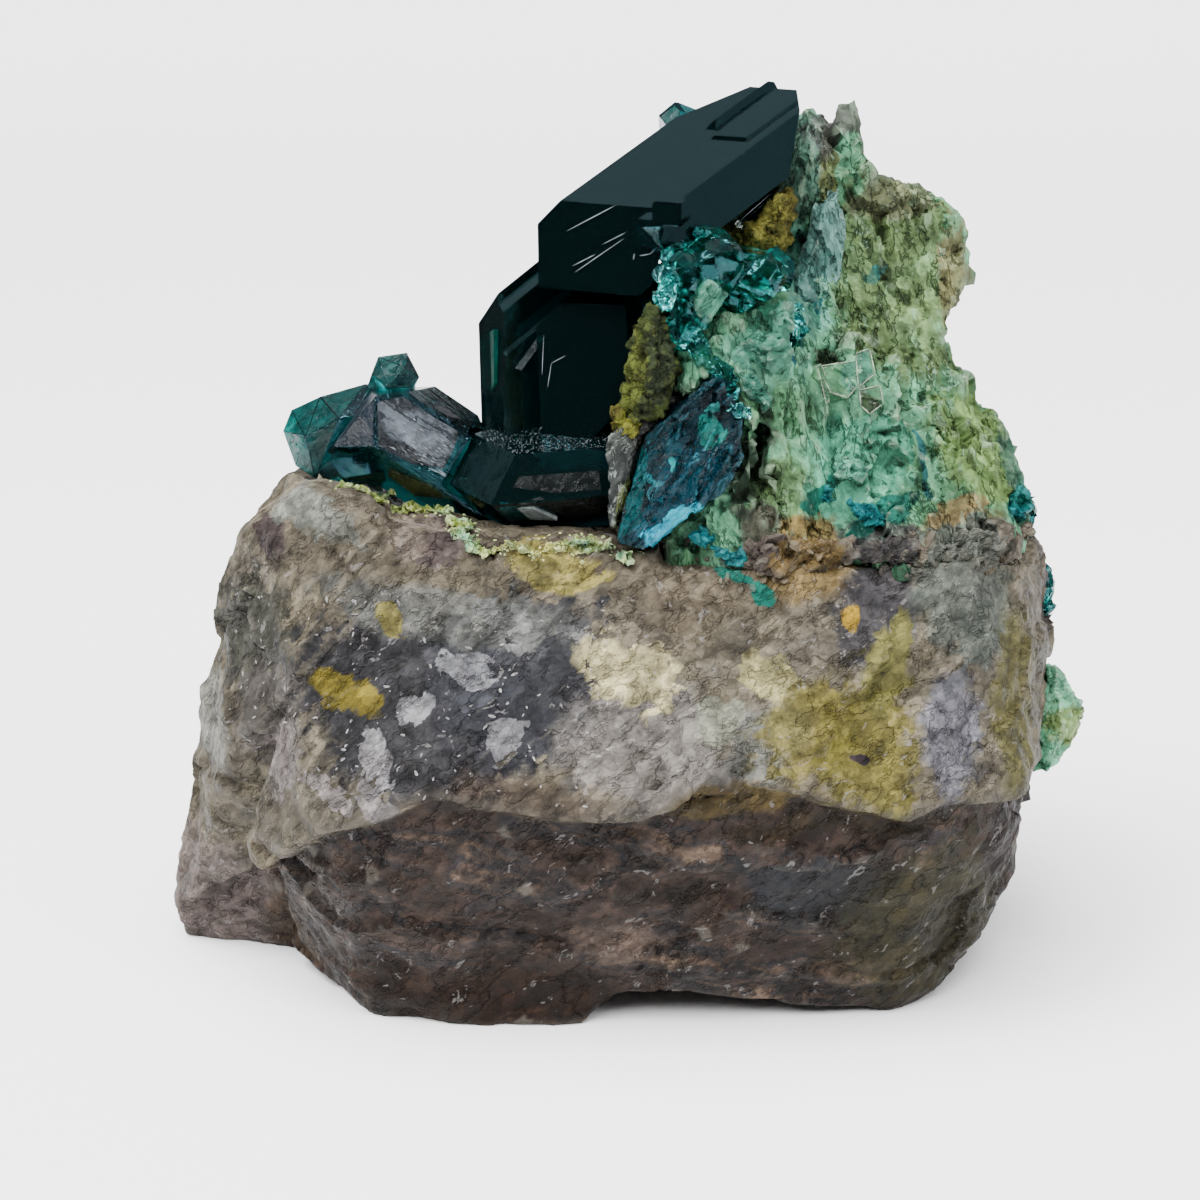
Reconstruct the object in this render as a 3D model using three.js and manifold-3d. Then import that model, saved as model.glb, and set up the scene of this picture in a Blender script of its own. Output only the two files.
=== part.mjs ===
// Dioptase on quartz: a hand specimen about 50 mm wide.
//
// A lump of quartz rests on the ground. Its front face leans back above a sharp break line and is
// undercut below it. The top is a ledge that carries dark green dioptase crystals on the left and in
// the middle. A wall of pale green crust stands on the right half of the ledge.
//
// Units are millimetres. +Z is up, the front of the specimen faces -Y and its right side is +X.
// The origin is on the ground, under the middle of the specimen.

import * as THREE from 'three';
import { ConvexGeometry } from 'three/addons/geometries/ConvexGeometry.js';
import { mergeVertices } from 'three/addons/utils/BufferGeometryUtils.js';
import { SimplexNoise } from 'three/addons/math/SimplexNoise.js';
import Module from 'manifold-3d';

const wasm = await Module();
wasm.setup();

// ---------------------------------------------------------------------------------------------
// Driving dimensions
// ---------------------------------------------------------------------------------------------

const GAP = 0.3;              // clearance between neighbouring pieces
const PART_LINE = 23.4;       // height of the flat seam between the quartz and the crust ridge
const ARCH_HEIGHT = 1.8;      // clear height under the front of the quartz, between its feet

const RHOMB_TILT = 51;        // degrees between a dioptase crystal's axis and its end faces' normals

// The broken surface of the rock: the longest edge left in it, how far it is moved in and out, and how
// fast the movement changes along it, per millimetre.
const QUARTZ_GRAIN = { edge: 3.9, amount: 0.45, scale: 0.16, seed: 3 };
const CRUST_GRAIN = { edge: 2.4, amount: 0.5, scale: 0.24, seed: 11 };
const COARSE_SHARE = 0.65;    // share of the movement that is slow; the rest is the fine part
const FINE_RATE = 2.7;        // how many times faster the fine part changes

// A knob's corners stand between these parts of its half size, and are turned by up to KNOB_TURN radians.
const KNOB_REACH = [0.86, 1.14];
const KNOB_CORNERS = 16;
const KNOB_TURN = 0.6;
const GOLDEN_TURN = Math.PI * (3 - Math.sqrt(5));

// Tolerances
const SAME_POINT = 1e-3;      // corners closer than this are one corner
const ON_PLANE = 1e-5;        // how far outside a plane a corner may lie and still count as inside
const SAME_DIRECTION = 0.99999;
const REFINE_PASSES = 12;

// ---------------------------------------------------------------------------------------------
// Solids: join, cut, refine and roughen
// ---------------------------------------------------------------------------------------------

function toSolid(geometry) {
  const plain = geometry.clone();
  plain.deleteAttribute('normal');
  plain.deleteAttribute('uv');
  const merged = mergeVertices(plain, SAME_POINT / 10);
  return new wasm.Manifold(new wasm.Mesh({
    numProp: 3,
    vertProperties: new Float32Array(merged.attributes.position.array),
    triVerts: new Uint32Array(merged.index.array),
  }));
}

function toGeometry(solid) {
  const mesh = solid.getMesh();
  const geometry = new THREE.BufferGeometry();
  geometry.setAttribute('position', new THREE.BufferAttribute(new Float32Array(mesh.vertProperties), 3));
  geometry.setIndex(new THREE.BufferAttribute(new Uint32Array(mesh.triVerts), 1));
  geometry.computeVertexNormals();
  return geometry;
}

const join = (solids) => solids.reduce((whole, next) => whole.add(next));
const cut = (solid, tools) => tools.reduce((rest, tool) => rest.subtract(tool), solid);

// A convex body is kept as its bounding planes, each { normal, reach }, so that it can be grown.
function solidFromPlanes(planes, grow = 0) {
  const corners = [];
  const grown = planes.map(({ normal, reach }) => new THREE.Plane(normal, -(reach + grow)));
  const spot = new THREE.Vector3();
  const inverse = new THREE.Matrix3();
  for (let i = 0; i < grown.length; i++) {
    for (let j = i + 1; j < grown.length; j++) {
      for (let k = j + 1; k < grown.length; k++) {
        const [a, b, c] = [grown[i], grown[j], grown[k]];
        inverse.set(...a.normal, ...b.normal, ...c.normal);
        if (Math.abs(inverse.determinant()) < ON_PLANE) continue;
        inverse.invert();
        spot.set(-a.constant, -b.constant, -c.constant).applyMatrix3(inverse);
        if (grown.every((plane) => plane.distanceToPoint(spot) < ON_PLANE)) corners.push(spot.clone());
      }
    }
  }
  return toSolid(new ConvexGeometry(mergePoints(corners)));
}

function mergePoints(points) {
  const kept = [];
  for (const point of points) {
    if (kept.every((other) => other.distanceTo(point) > SAME_POINT)) kept.push(point);
  }
  return kept;
}

// The bounding planes of the convex hull of a few corner points.
function hullPlanes(points) {
  const hull = new ConvexGeometry(points.map((p) => new THREE.Vector3(...p)));
  const position = hull.attributes.position;
  const planes = [];
  for (let i = 0; i < position.count; i += 3) {
    const corner = new THREE.Vector3().fromBufferAttribute(position, i);
    const along = new THREE.Vector3().fromBufferAttribute(position, i + 1).sub(corner);
    const across = new THREE.Vector3().fromBufferAttribute(position, i + 2).sub(corner);
    const normal = along.cross(across).normalize();
    const reach = normal.dot(corner);
    const same = (p) => p.normal.dot(normal) > SAME_DIRECTION && Math.abs(p.reach - reach) < SAME_POINT;
    if (!planes.some(same)) planes.push({ normal, reach });
  }
  return planes;
}

const chunk = (points) => solidFromPlanes(hullPlanes(points));

// Splits every edge longer than the limit at its middle, until none is left.
function refine(positions, triangles, limit) {
  const points = [...positions];
  let faces = triangles;
  for (let pass = 0; pass < REFINE_PASSES; pass++) {
    const middles = new Map();
    const middle = (a, b) => {
      const key = a < b ? `${a}_${b}` : `${b}_${a}`;
      if (!middles.has(key)) {
        const long = points[a].distanceTo(points[b]) > limit;
        middles.set(key, long ? points.push(points[a].clone().lerp(points[b], 0.5)) - 1 : -1);
      }
      return middles.get(key);
    };
    const next = [];
    for (const [a, b, c] of faces) {
      next.push(...splitFace(points, [a, b, c], [middle(a, b), middle(b, c), middle(c, a)]));
    }
    if (next.length === faces.length) break;
    faces = next;
  }
  return { points, faces };
}

function splitFace(points, [a, b, c], [ab, bc, ca]) {
  const marked = [ab, bc, ca].filter((m) => m >= 0).length;
  if (marked === 0) return [[a, b, c]];
  if (marked === 3) return [[a, ab, ca], [ab, b, bc], [ca, bc, c], [ab, bc, ca]];
  if (ab < 0) return splitFace(points, [b, c, a], [bc, ca, ab]);
  if (marked === 2 && bc < 0) return splitFace(points, [c, a, b], [ca, ab, bc]);
  if (marked === 1) return [[a, ab, c], [ab, b, c]];
  const short = points[a].distanceTo(points[bc]) < points[ab].distanceTo(points[c]);
  const rest = short ? [[a, ab, bc], [a, bc, c]] : [[ab, bc, c], [a, ab, c]];
  return [[ab, b, bc], ...rest];
}

function seededRandom(seed) {
  let state = seed * 2654435761 % 4294967296;
  return () => {
    state = (state * 1664525 + 1013904223) % 4294967296;
    return state / 4294967296;
  };
}

// Gives a solid the broken surface of rock: finer faces, moved in and out by noise of two sizes.
function roughen(solid, { edge, amount, scale, seed }) {
  const geometry = toGeometry(solid);
  const source = geometry.attributes.position;
  const index = geometry.index.array;
  const positions = [];
  for (let i = 0; i < source.count; i++) positions.push(new THREE.Vector3().fromBufferAttribute(source, i));
  const triangles = [];
  for (let i = 0; i < index.length; i += 3) triangles.push([...index.slice(i, i + 3)]);
  const { points, faces } = refine(positions, triangles, edge);

  const normals = points.map(() => new THREE.Vector3());
  for (const [a, b, c] of faces) {
    const along = points[b].clone().sub(points[a]);
    const across = points[c].clone().sub(points[a]);
    const normal = along.cross(across);
    for (const i of [a, b, c]) normals[i].add(normal);
  }
  const noise = new SimplexNoise({ random: seededRandom(seed) });
  const sample = (p, s) => noise.noise3d(p.x * s, p.y * s, p.z * s);
  const moved = points.map((p, i) => {
    const coarse = COARSE_SHARE * sample(p, scale);
    const fine = (1 - COARSE_SHARE) * sample(p, FINE_RATE * scale);
    const height = coarse + fine;
    return p.clone().addScaledVector(normals[i].normalize(), amount * height);
  });

  return new wasm.Manifold(new wasm.Mesh({
    numProp: 3,
    vertProperties: new Float32Array(moved.flatMap((p) => p.toArray())),
    triVerts: new Uint32Array(faces.flat()),
  }));
}

// ---------------------------------------------------------------------------------------------
// Dioptase crystals: a six-sided prism with three end faces, set over every second prism edge
// ---------------------------------------------------------------------------------------------

// tip is where the three end faces meet, and axis runs from the tip to the root. face is a rough
// direction for the first prism side. sides are the distances of the six sides from the line through the
// tip. ends move the end faces out from the tip, and facets are further planes that trim the crystal.
function crystalPlanes({ tip, axis, face, sides, length, ends = [0, 0, 0], facets = [] }) {
  const origin = new THREE.Vector3(...tip);
  const w = new THREE.Vector3(...axis).normalize();
  const u = new THREE.Vector3(...face);
  u.addScaledVector(w, -u.dot(w)).normalize();
  const v = w.clone().cross(u);
  const around = (degrees) => {
    const t = THREE.MathUtils.degToRad(degrees);
    return u.clone().multiplyScalar(Math.cos(t)).addScaledVector(v, Math.sin(t));
  };
  const tilt = THREE.MathUtils.degToRad(RHOMB_TILT);
  const planes = sides.map((reach, k) => ({ normal: around(60 * k), reach }));
  ends.forEach((reach, k) => {
    const outward = around(30 + 120 * k).multiplyScalar(Math.sin(tilt));
    planes.push({ normal: outward.addScaledVector(w, -Math.cos(tilt)), reach });
  });
  planes.push({ normal: w.clone(), reach: length });
  for (const { toward, reach } of facets) {
    planes.push({ normal: new THREE.Vector3(...toward).normalize(), reach });
  }
  return planes.map(({ normal, reach }) => ({ normal, reach: reach + normal.dot(origin) }));
}

const crystal = (spec, grow = 0) => solidFromPlanes(crystalPlanes(spec), grow);

// A knob: the convex hull of corner points spread over an ellipsoid, each pushed in or out a little.
function knobPlanes({ at, size, corners = KNOB_CORNERS, seed }) {
  const random = seededRandom(seed);
  const [low, high] = KNOB_REACH;
  const points = [];
  for (let i = 0; i < corners; i++) {
    const z = 1 - 2 * (i + 0.5) / corners;
    const ring = Math.sqrt(1 - z * z);
    const angle = GOLDEN_TURN * i + KNOB_TURN * random();
    const reach = 0.5 * (low + (high - low) * random());
    points.push([
      at[0] + size[0] * reach * ring * Math.cos(angle),
      at[1] + size[1] * reach * ring * Math.sin(angle),
      at[2] + size[2] * reach * z,
    ]);
  }
  return hullPlanes(points);
}

const knob = (spec, grow = 0) => solidFromPlanes(knobPlanes(spec), grow);

// ---------------------------------------------------------------------------------------------
// The crystals
// ---------------------------------------------------------------------------------------------

const MAIN_AXIS = [0.74, 0.45, 0.5];
const MAIN_FACE = [-0.22, -0.63, 0.745];
const SECOND_AXIS = [0.68, 0.52, 0.5];

// How far the upper and the lower side of each plate beside the second crystal stand out.
const SECOND_PLATES = [[6.5, 1.77], [5.0, 2.34], [3.6, 2.62]];

const MAIN_CRYSTALS = [
  // the large crystal at the top, broken off at its upper end
  {
    tip: [-4.93, -5.8, 36.4], axis: MAIN_AXIS, face: MAIN_FACE, sides: [3.2, 5.0, 3.9, 4.4, 3.2, 2.3],
    length: 16,
    facets: [
      { toward: [-0.42, 0.25, 0.9], reach: 5.2 }, { toward: [0.1, 0.1, 1], reach: 11.1 },
      { toward: [0.96, 0.2, -0.2], reach: 11.3 },
    ],
  },
  // the raised rib on its upper end, and a lower one beside it
  {
    tip: [2.3, -3.2, 42.2], axis: MAIN_AXIS, face: MAIN_FACE, sides: [2.35, 1.3, 1.2, 3.0, 2.0, 0.5],
    length: 6.2,
    facets: [{ toward: [0.1, 0.1, 1], reach: 4.7 }, { toward: [0.96, 0.2, -0.2], reach: 5.0 }],
  },
  {
    tip: [3.0, -4.0, 42.2], axis: MAIN_AXIS, face: MAIN_FACE, sides: [1.2, 1.9, 1.2, 3.0, 2.0, 0.5],
    length: 6.0,
    facets: [{ toward: [0.1, 0.1, 1], reach: 4.2 }, { toward: [0.96, 0.2, -0.2], reach: 4.4 }],
  },
  // the small step crystals on its end face
  {
    tip: [-0.1, -7.7, 38.7], axis: MAIN_AXIS, face: MAIN_FACE, sides: [0.9, 1.0, 0.9, 1.5, 1.2, 0.8],
    length: 1.6,
  },
  {
    tip: [0.7, -7.9, 39.7], axis: MAIN_AXIS, face: MAIN_FACE, sides: [0.8, 1.1, 0.9, 1.5, 1.2, 0.7],
    length: 1.7,
  },
  // the large crystal below it, in front of a stair of thin parallel plates
  {
    tip: [-4.9, -5.4, 30.5], axis: SECOND_AXIS, face: MAIN_FACE, sides: [3.75, 3.5, 3.2, 3.0, 3.0, 2.8],
    length: 10, ends: [0, 2.3, 0],
  },
  ...SECOND_PLATES.map(([upper, lower]) => ({
    tip: [-8.4, -3.8, 29.1], axis: SECOND_AXIS, face: MAIN_FACE,
    sides: [upper, lower, 5.2, 4.0, 3.0, 3.6], length: 13, ends: [6, 1.1, -0.4],
    facets: [{ toward: [-0.86, -0.5, 0.1], reach: -0.4 }],
  })),
  // the crystal that lies along the ledge
  {
    tip: [-9.5, -6.5, 26.5], axis: [0.98, 0.17, 0.05], face: [0, -0.26, 0.97],
    sides: [2.1, 2.4, 2.4, 2.4, 2.4, 2.4], length: 12,
  },
  // a small crystal on the back of the large one
  {
    tip: [1.2, 0.8, 44.6], axis: [0.78, 0.35, -0.3], face: MAIN_FACE,
    sides: [0.9, 1.2, 1.2, 1.6, 1.2, 0.8], length: 4,
  },
];

const LEFT_CRYSTALS = [
  // the striated crystal that points up and to the left
  {
    tip: [-14.3, -5.0, 30.2], axis: [0.8, 0.15, -0.58], face: [0.24, -0.97, 0.08],
    sides: [2.3, 2.2, 2.5, 2.5, 2.5, 2.9], ends: [1.1, 1.9, 0.7], length: 9.5,
    facets: [{ toward: [-0.77, -0.1, 0.62], reach: -0.2 }],
  },
  // its small foot
  {
    tip: [-16.2, -6.4, 27.1], axis: [0.85, 0.35, 0.05], face: [0.2, -0.9, 0.3],
    sides: [0.7, 0.8, 0.8, 0.8, 0.8, 0.8], length: 4.5,
  },
];

// the blunt crystal at the far left, by its corners
const LEFT_BLUNT = [
  [-18.4, -2.8, 28.6], [-18.0, -2.2, 29.6], [-16.4, -2.8, 30.4], [-14.0, -3.0, 31.1],
  [-17.7, -3.6, 26.9], [-17.0, -4.6, 28.6], [-15.2, -5.0, 29.6], [-16.6, -4.4, 26.4],
  [-12.5, -4.4, 27.5], [-12.5, -4.2, 30.2], [-17.6, 0.2, 28.8], [-16.0, 0.8, 30.0],
  [-12.5, 0.6, 30.4], [-17.0, 0.2, 27.0], [-12.5, 0.6, 26.5],
];

const LEFT_KNOBS = [
  { at: [-12.4, -3.4, 31.3], size: [3.0, 2.6, 2.9], corners: 14, seed: 5 },
];

const KNOB_CLUSTER = [
  { at: [1.9, -8.0, 37.3], size: [2.6, 2.8, 2.9], corners: 20, seed: 7 },
  { at: [3.8, -7.4, 37.7], size: [3.8, 3.4, 3.4], corners: 22, seed: 8 },
  { at: [6.0, -6.4, 37.2], size: [3.6, 3.4, 3.0], corners: 20, seed: 9 },
  { at: [2.5, -7.6, 35.6], size: [2.6, 2.8, 4.2], corners: 18, seed: 10 },
  { at: [4.6, -5.8, 36.8], size: [3.4, 3.0, 3.4], corners: 18, seed: 12 },
];

// the blade: its front outline, and its thickness from front to back
const BLADE_FRONT = [
  [-1.1, -10.5, 24.4], [0.3, -11.0, 24.1], [4.1, -10.9, 26.9], [5.1, -10.3, 28.4],
  [5.1, -9.7, 30.4], [4.0, -9.0, 32.3], [2.2, -9.4, 30.9], [0.4, -9.7, 29.3], [0.1, -10.0, 27.5],
];
const BLADE_THICK = 2.4;
const BLADE_TAPER = [0.9, 0.98];      // the back outline's width and height against the front outline's
const BLADE_SHIFT = [0.3, 0.5];       // and how far it is moved to the right and up

// ---------------------------------------------------------------------------------------------
// Lumps that stand between the crystals and the ridge
// ---------------------------------------------------------------------------------------------

const OCHRE_UPPER = [
  { at: [7.0, -3.4, 40.0], size: [2.7, 3.2, 3.2], seed: 41 },
  { at: [6.5, -3.8, 38.8], size: [3.0, 3.0, 2.6], seed: 42 },
];
const OCHRE_LOWER = [
  { at: [1.0, -7.6, 34.4], size: [2.2, 2.8, 3.2], seed: 43 },
  { at: [0.7, -7.6, 32.8], size: [3.0, 3.2, 3.4], seed: 44 },
  { at: [0.6, -7.6, 31.0], size: [2.8, 3.0, 3.2], seed: 45 },
];
const SHARD = [
  [-1.5, -8.6, 29.4], [1.0, -7.6, 31.2], [2.0, -7.4, 30.9], [-0.8, -9.2, 27.5], [-1.4, -9.4, 25.0],
  [-0.6, -9.7, 24.0], [0.6, -9.2, 25.5], [1.2, -6.6, 30.0], [-1.0, -7.4, 28.8], [-0.9, -8.0, 24.2],
  [0.8, -7.4, 24.6], [2.6, -5.8, 31.0], [2.2, -6.0, 24.2], [-1.2, -6.6, 28.0], [-0.8, -6.6, 24.2],
];

// ---------------------------------------------------------------------------------------------
// The quartz: convex chunks joined together, then ledges, steps and the arch cut out of them
// ---------------------------------------------------------------------------------------------

const QUARTZ_CHUNKS = {
  // the middle of the lump, from the undercut foot over the break line to the rim of the ledge
  front: [
    [-16.8, -4.0, -2], [-13.2, -12.2, -1], [-8.5, -13.3, -1], [-4.5, -13.4, -1], [4, -12.6, -1],
    [13.2, -11.6, -1], [17.2, -9.6, 2.0], [19.8, -6.0, 4.6], [20.4, -8.0, 8.5],
    [-19.6, -10.5, 8.8], [-15.0, -15.6, 11.4], [-9.3, -17.0, 13.2], [-1.8, -17.1, 12.6],
    [7.8, -17.0, 13.3], [13.6, -16.2, 12.0], [18.9, -13.2, 13.0], [-17.2, -12.0, 17.6],
    [-14.8, -11.8, 20.6], [-13.4, -10.0, 25.2], [-8.2, -10.2, 24.7], [-2.0, -10.4, 23.9],
    [4.5, -10.2, 22.9], [11.6, -9.9, 23.6], [17.5, -9.0, 23.2], [19.9, -6.8, 22.6],
    [21.6, -4.0, 19.5], [21.6, -5.0, 14.8], [-12, 10, 24.5], [18, 10, 23], [20, 8, -1],
    [-14, 10, -1],
  ],
  // the left end with its foot
  left: [
    [-25.4, -1.2, -1], [-22.0, -2.0, -1], [-17.4, -3.8, -1], [-24.4, -1.5, 3.2],
    [-22.6, -2.6, 7.5], [-21.0, -9.0, 12.8], [-22.6, -3.2, 13.2], [-22.5, -3.4, 16.4],
    [-17.4, -11.6, 17.4], [-21.8, -4.2, 20.6], [-20.3, -4.6, 23.4], [-18.0, -7.6, 25.2],
    [-13.6, -9.9, 25.3], [-18.4, -1.5, 26.1], [-16.4, 4.5, 26.0], [-20.6, 4.0, 23.0],
    [-22.0, 5.0, 12.0], [-23.2, 6.5, 3.0], [-23.0, 7.5, -1], [-10, 12, -1], [-10, 11, 24.6],
    [-15, 11.5, 10], [-8, -10, 12],
  ],
  // the back, a steep broken face
  back: [
    [-20.0, 7.0, -1], [-12.0, 14.6, -1], [2.0, 16.8, -1], [14.0, 15.2, -1], [20.0, 6.0, -1],
    [-19.6, 7.5, 12.0], [-10.5, 15.6, 9.0], [3.0, 17.2, 10.0], [15.0, 15.4, 11.0],
    [21.6, 4.0, 12.0], [-14.5, 8.5, 24.8], [-4.0, 13.2, 23.0], [8.0, 14.6, 22.5],
    [17.5, 12.2, 22.2], [22.0, 3.5, 20.5], [-10, -4, 12], [14, -5, 12], [-8, -2, -1], [12, -2, -1],
    [20, -3, 22.0], [-8, -2, 24.6],
  ],
  // the right end, pale and rounded
  right: [
    [19.8, -7.0, 8.0], [21.2, -3.0, 9.5], [22.6, -1.5, 12.5], [23.4, 0.5, 15.5], [23.2, 0.5, 18.0],
    [21.8, -2.0, 21.2], [20.9, -4.4, 22.8], [17.8, -8.6, 23.0], [19.2, -11.4, 14.2],
    [20.8, 6.0, 9.0], [22.4, 7.0, 16.0], [20.6, 8.0, 22.4], [17, 0, 8], [14, 0, 22],
  ],
  // the rim of the ledge: low lumps that stand up along its front and left edge
  rimLeft: [
    [-18.6, -7.0, 24.8], [-15.0, -10.2, 25.0], [-12.2, -10.4, 24.8], [-16.8, -8.2, 26.5],
    [-14.6, -9.2, 26.5], [-12.6, -9.4, 26.0], [-18.2, -3.0, 26.4], [-16.6, -3.4, 26.6],
    [-14.0, -8.4, 25.4], [-15.0, -4.0, 24.0], [-11.8, -8.8, 24.2],
  ],
  // the splinter of clear quartz on the left edge
  leftChip: [
    [-23.1, -2.4, 11.2], [-23.6, -1.6, 14.0], [-23.1, -3.8, 14.9], [-22.3, -5.6, 12.4],
    [-21.8, -4.4, 9.6], [-22.9, 1.0, 10.2], [-23.2, 1.5, 14.0], [-21.2, 0.0, 12.0],
  ],
};

const QUARTZ_CUTS = {
  // the arch between the front feet
  arch: [
    [-5.6, -20, -2], [16.0, -20, -2], [-0.8, -20, ARCH_HEIGHT], [3.0, -20, ARCH_HEIGHT],
    [13.2, -20, 0.3], [-3.4, 4, -2], [12.0, 4, -2], [0.4, 2, 0.9], [3.0, 2, 0.9], [10.0, 2, 0.2],
  ],
  // the hollow under the back
  backHollow: [
    [-9, 22, -2], [9, 22, -2], [-5, 22, 2.2], [5, 22, 2.2], [-6, 7, -2], [6, 7, -2], [-3, 8, 0.8],
    [3, 8, 0.8],
  ],
  // the step behind the left foot
  leftUndercut: [
    [-30, -12, -2], [-18.4, -12, -2], [-17.6, -3.2, -2], [-30, -1.2, -2], [-19.0, -12, 5.5],
    [-30, -12, 7], [-19.4, -5.6, 3.6], [-30, -3.2, 3.6],
  ],
  // a shallow step in the leaning front face
  rightStep: [
    [8.6, -20, 13.8], [14.6, -20, 13.0], [15.4, -20, 20.5], [10.0, -20, 20.8], [9.4, -15.4, 14.6],
    [14.0, -15.0, 13.8], [14.6, -12.8, 19.8], [10.6, -12.9, 20.0],
  ],
  // the shelf broken into the back face
  backShelf: [
    [-18, 30, 10], [9, 30, 16], [-16, 30, 34], [12, 30, 34], [-9.5, 12.6, 14.0], [3.0, 14.6, 17.4],
    [-10.0, 9.0, 34], [6.0, 12.4, 34],
  ],
};

// ---------------------------------------------------------------------------------------------
// The crust ridge on the right half of the ledge
// ---------------------------------------------------------------------------------------------

const RIDGE_CHUNKS = {
  // the broad foot
  foot: [
    [3.6, -10.2, 22], [8.0, -10.9, 22], [14.0, -10.4, 22], [18.6, -8.8, 22], [21.2, -3.0, 22],
    [21.2, 6.0, 22], [15, 11.6, 22], [6, 11.0, 22], [2.6, 3.0, 22], [20.6, -2.6, 25.8],
    [19.4, -1.6, 29.4], [18.2, 4.0, 30.0], [9.0, -5.6, 30.0], [15.6, -4.6, 30.4], [7.0, 8.0, 29.0],
    [15.0, 8.6, 29.0], [4.4, 0, 29],
  ],
  // the wall above it
  wall: [
    [5.6, -5.4, 27.0], [10.5, -6.0, 28.0], [16.8, -4.4, 29.0], [18.4, -1.0, 29.5],
    [17.0, 7.0, 27.0], [7.0, 7.6, 27.0], [16.2, -1.2, 33.0], [17.0, -0.2, 37.2], [17.1, 0.4, 39.2],
    [15.3, 1.2, 40.8], [12.0, 0.8, 41.4], [9.4, -1.6, 38.0], [8.0, -2.6, 35.0], [15.6, 4.4, 39.4],
    [11.0, 5.0, 41.0], [8.6, 5.6, 38.0], [6.0, 4.6, 33.0],
  ],
  // the peak that holds the root of the large crystal
  peak: [
    [7.6, -0.6, 38.0], [9.4, -0.8, 41.8], [8.8, 1.0, 45.0], [9.8, 0.4, 44.2], [12.2, 0.2, 41.6],
    [12.4, 3.6, 41.8], [9.6, 4.2, 44.6], [7.6, 4.4, 42.0], [7.4, 4.2, 37.0], [13, 2, 38.0],
  ],
  // the grey spire
  spire: [
    [9.9, 1.0, 42.4], [10.6, 1.4, 45.3], [11.5, 1.2, 45.5], [11.8, 0.8, 42.0], [11.9, 2.8, 42.0],
    [11.2, 2.6, 45.2], [10.2, 3.0, 43.4],
  ],
  // the buttress in front of the wall
  buttress: [
    [0.6, -8.6, 22], [2.0, -10.2, 22], [8.6, -10.9, 22], [10.6, -4.0, 22], [1.0, 2.0, 22],
    [1.4, -6.6, 30.0], [2.4, -5.4, 35.6], [5.0, -6.6, 35.9], [8.0, -6.2, 35.0], [9.4, -6.0, 31.0],
    [8.8, 1.0, 38.0], [1.6, 0.6, 36.0], [0.6, 1.0, 30.0], [9.6, -7.8, 26.0], [3.2, -7.6, 34.2],
  ],
  // the broken knuckle in the middle of the wall
  knuckle: [
    [9.6, -5.6, 29.6], [11.6, -6.6, 28.6], [13.6, -6.2, 29.4], [13.8, -4.2, 33.0],
    [11.0, -4.2, 33.6], [9.8, -4.4, 32.2], [12, -2, 30],
  ],
};

const RIDGE_CUTS = {
  // the dark cleft between the buttress and the wall
  cleft: [
    [5.3, -14, 24.8], [7.0, -14, 24.6], [7.0, -14, 30.4], [5.4, -14, 30.4], [5.8, -8.4, 25.6],
    [6.4, -8.4, 25.6], [6.4, -7.0, 29.6], [5.8, -7.0, 29.6],
  ],
  // the notch in the right side of the wall
  notch: [
    [16.6, -6, 31.4], [22, -6, 30.6], [22, 10, 30.6], [16.6, 10, 31.4], [15.9, -6, 33.4],
    [15.9, 10, 33.4], [22, -6, 36.0], [22, 10, 36.0], [17.0, -6, 36.2], [17.0, 10, 36.2],
  ],
};

// small crystals and the tooth on the right edge
const EDGE_CRYSTALS = [
  { at: [21.8, -0.6, 19.4], size: [2.0, 2.6, 3.6], seed: 61 },
  { at: [20.9, -1.2, 21.8], size: [1.8, 2.6, 3.6], seed: 63 },
  { at: [20.3, -1.8, 24.0], size: [2.0, 2.8, 3.8], seed: 62 },
];
const TOOTH = [
  [22.6, -2.2, 9.6], [23.2, -2.0, 12.2], [24.8, -0.6, 12.6], [24.6, 0.6, 11.2], [23.0, -0.8, 15.4],
  [23.4, 1.2, 14.6], [22.4, 2.0, 9.4], [21.6, 2.0, 14.4], [21.2, -1.0, 9.2],
];

// ---------------------------------------------------------------------------------------------
// Making the pieces
// ---------------------------------------------------------------------------------------------

function block(low, high) {
  const points = [];
  for (const x of [low[0], high[0]]) {
    for (const y of [low[1], high[1]]) {
      for (const z of [low[2], high[2]]) points.push([x, y, z]);
    }
  }
  return chunk(points);
}

const FAR = 60;                       // beyond every face of the specimen
const GROUND = block([-FAR, -FAR, -FAR], [FAR, FAR, 0]);
const SEAM_LEFT = 1.2;                // left end of the flat seam in the quartz
const SEAM_STEP = 26;                 // below this height the ridge stays right of its left end
const RIDGE_LEFT = SEAM_LEFT + GAP;

function bladePlanes() {
  const [wide, high] = BLADE_TAPER;
  const [right, up] = BLADE_SHIFT;
  const back = BLADE_FRONT.map(([x, y, z]) => [x * wide + right, y + BLADE_THICK, z * high + up]);
  return hullPlanes([...BLADE_FRONT, ...back]);
}

const crystals = (specs, grow = 0) => join(specs.map((spec) => crystal(spec, grow)));
const knobs = (specs, grow = 0) => join(specs.map((spec) => knob(spec, grow)));

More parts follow.
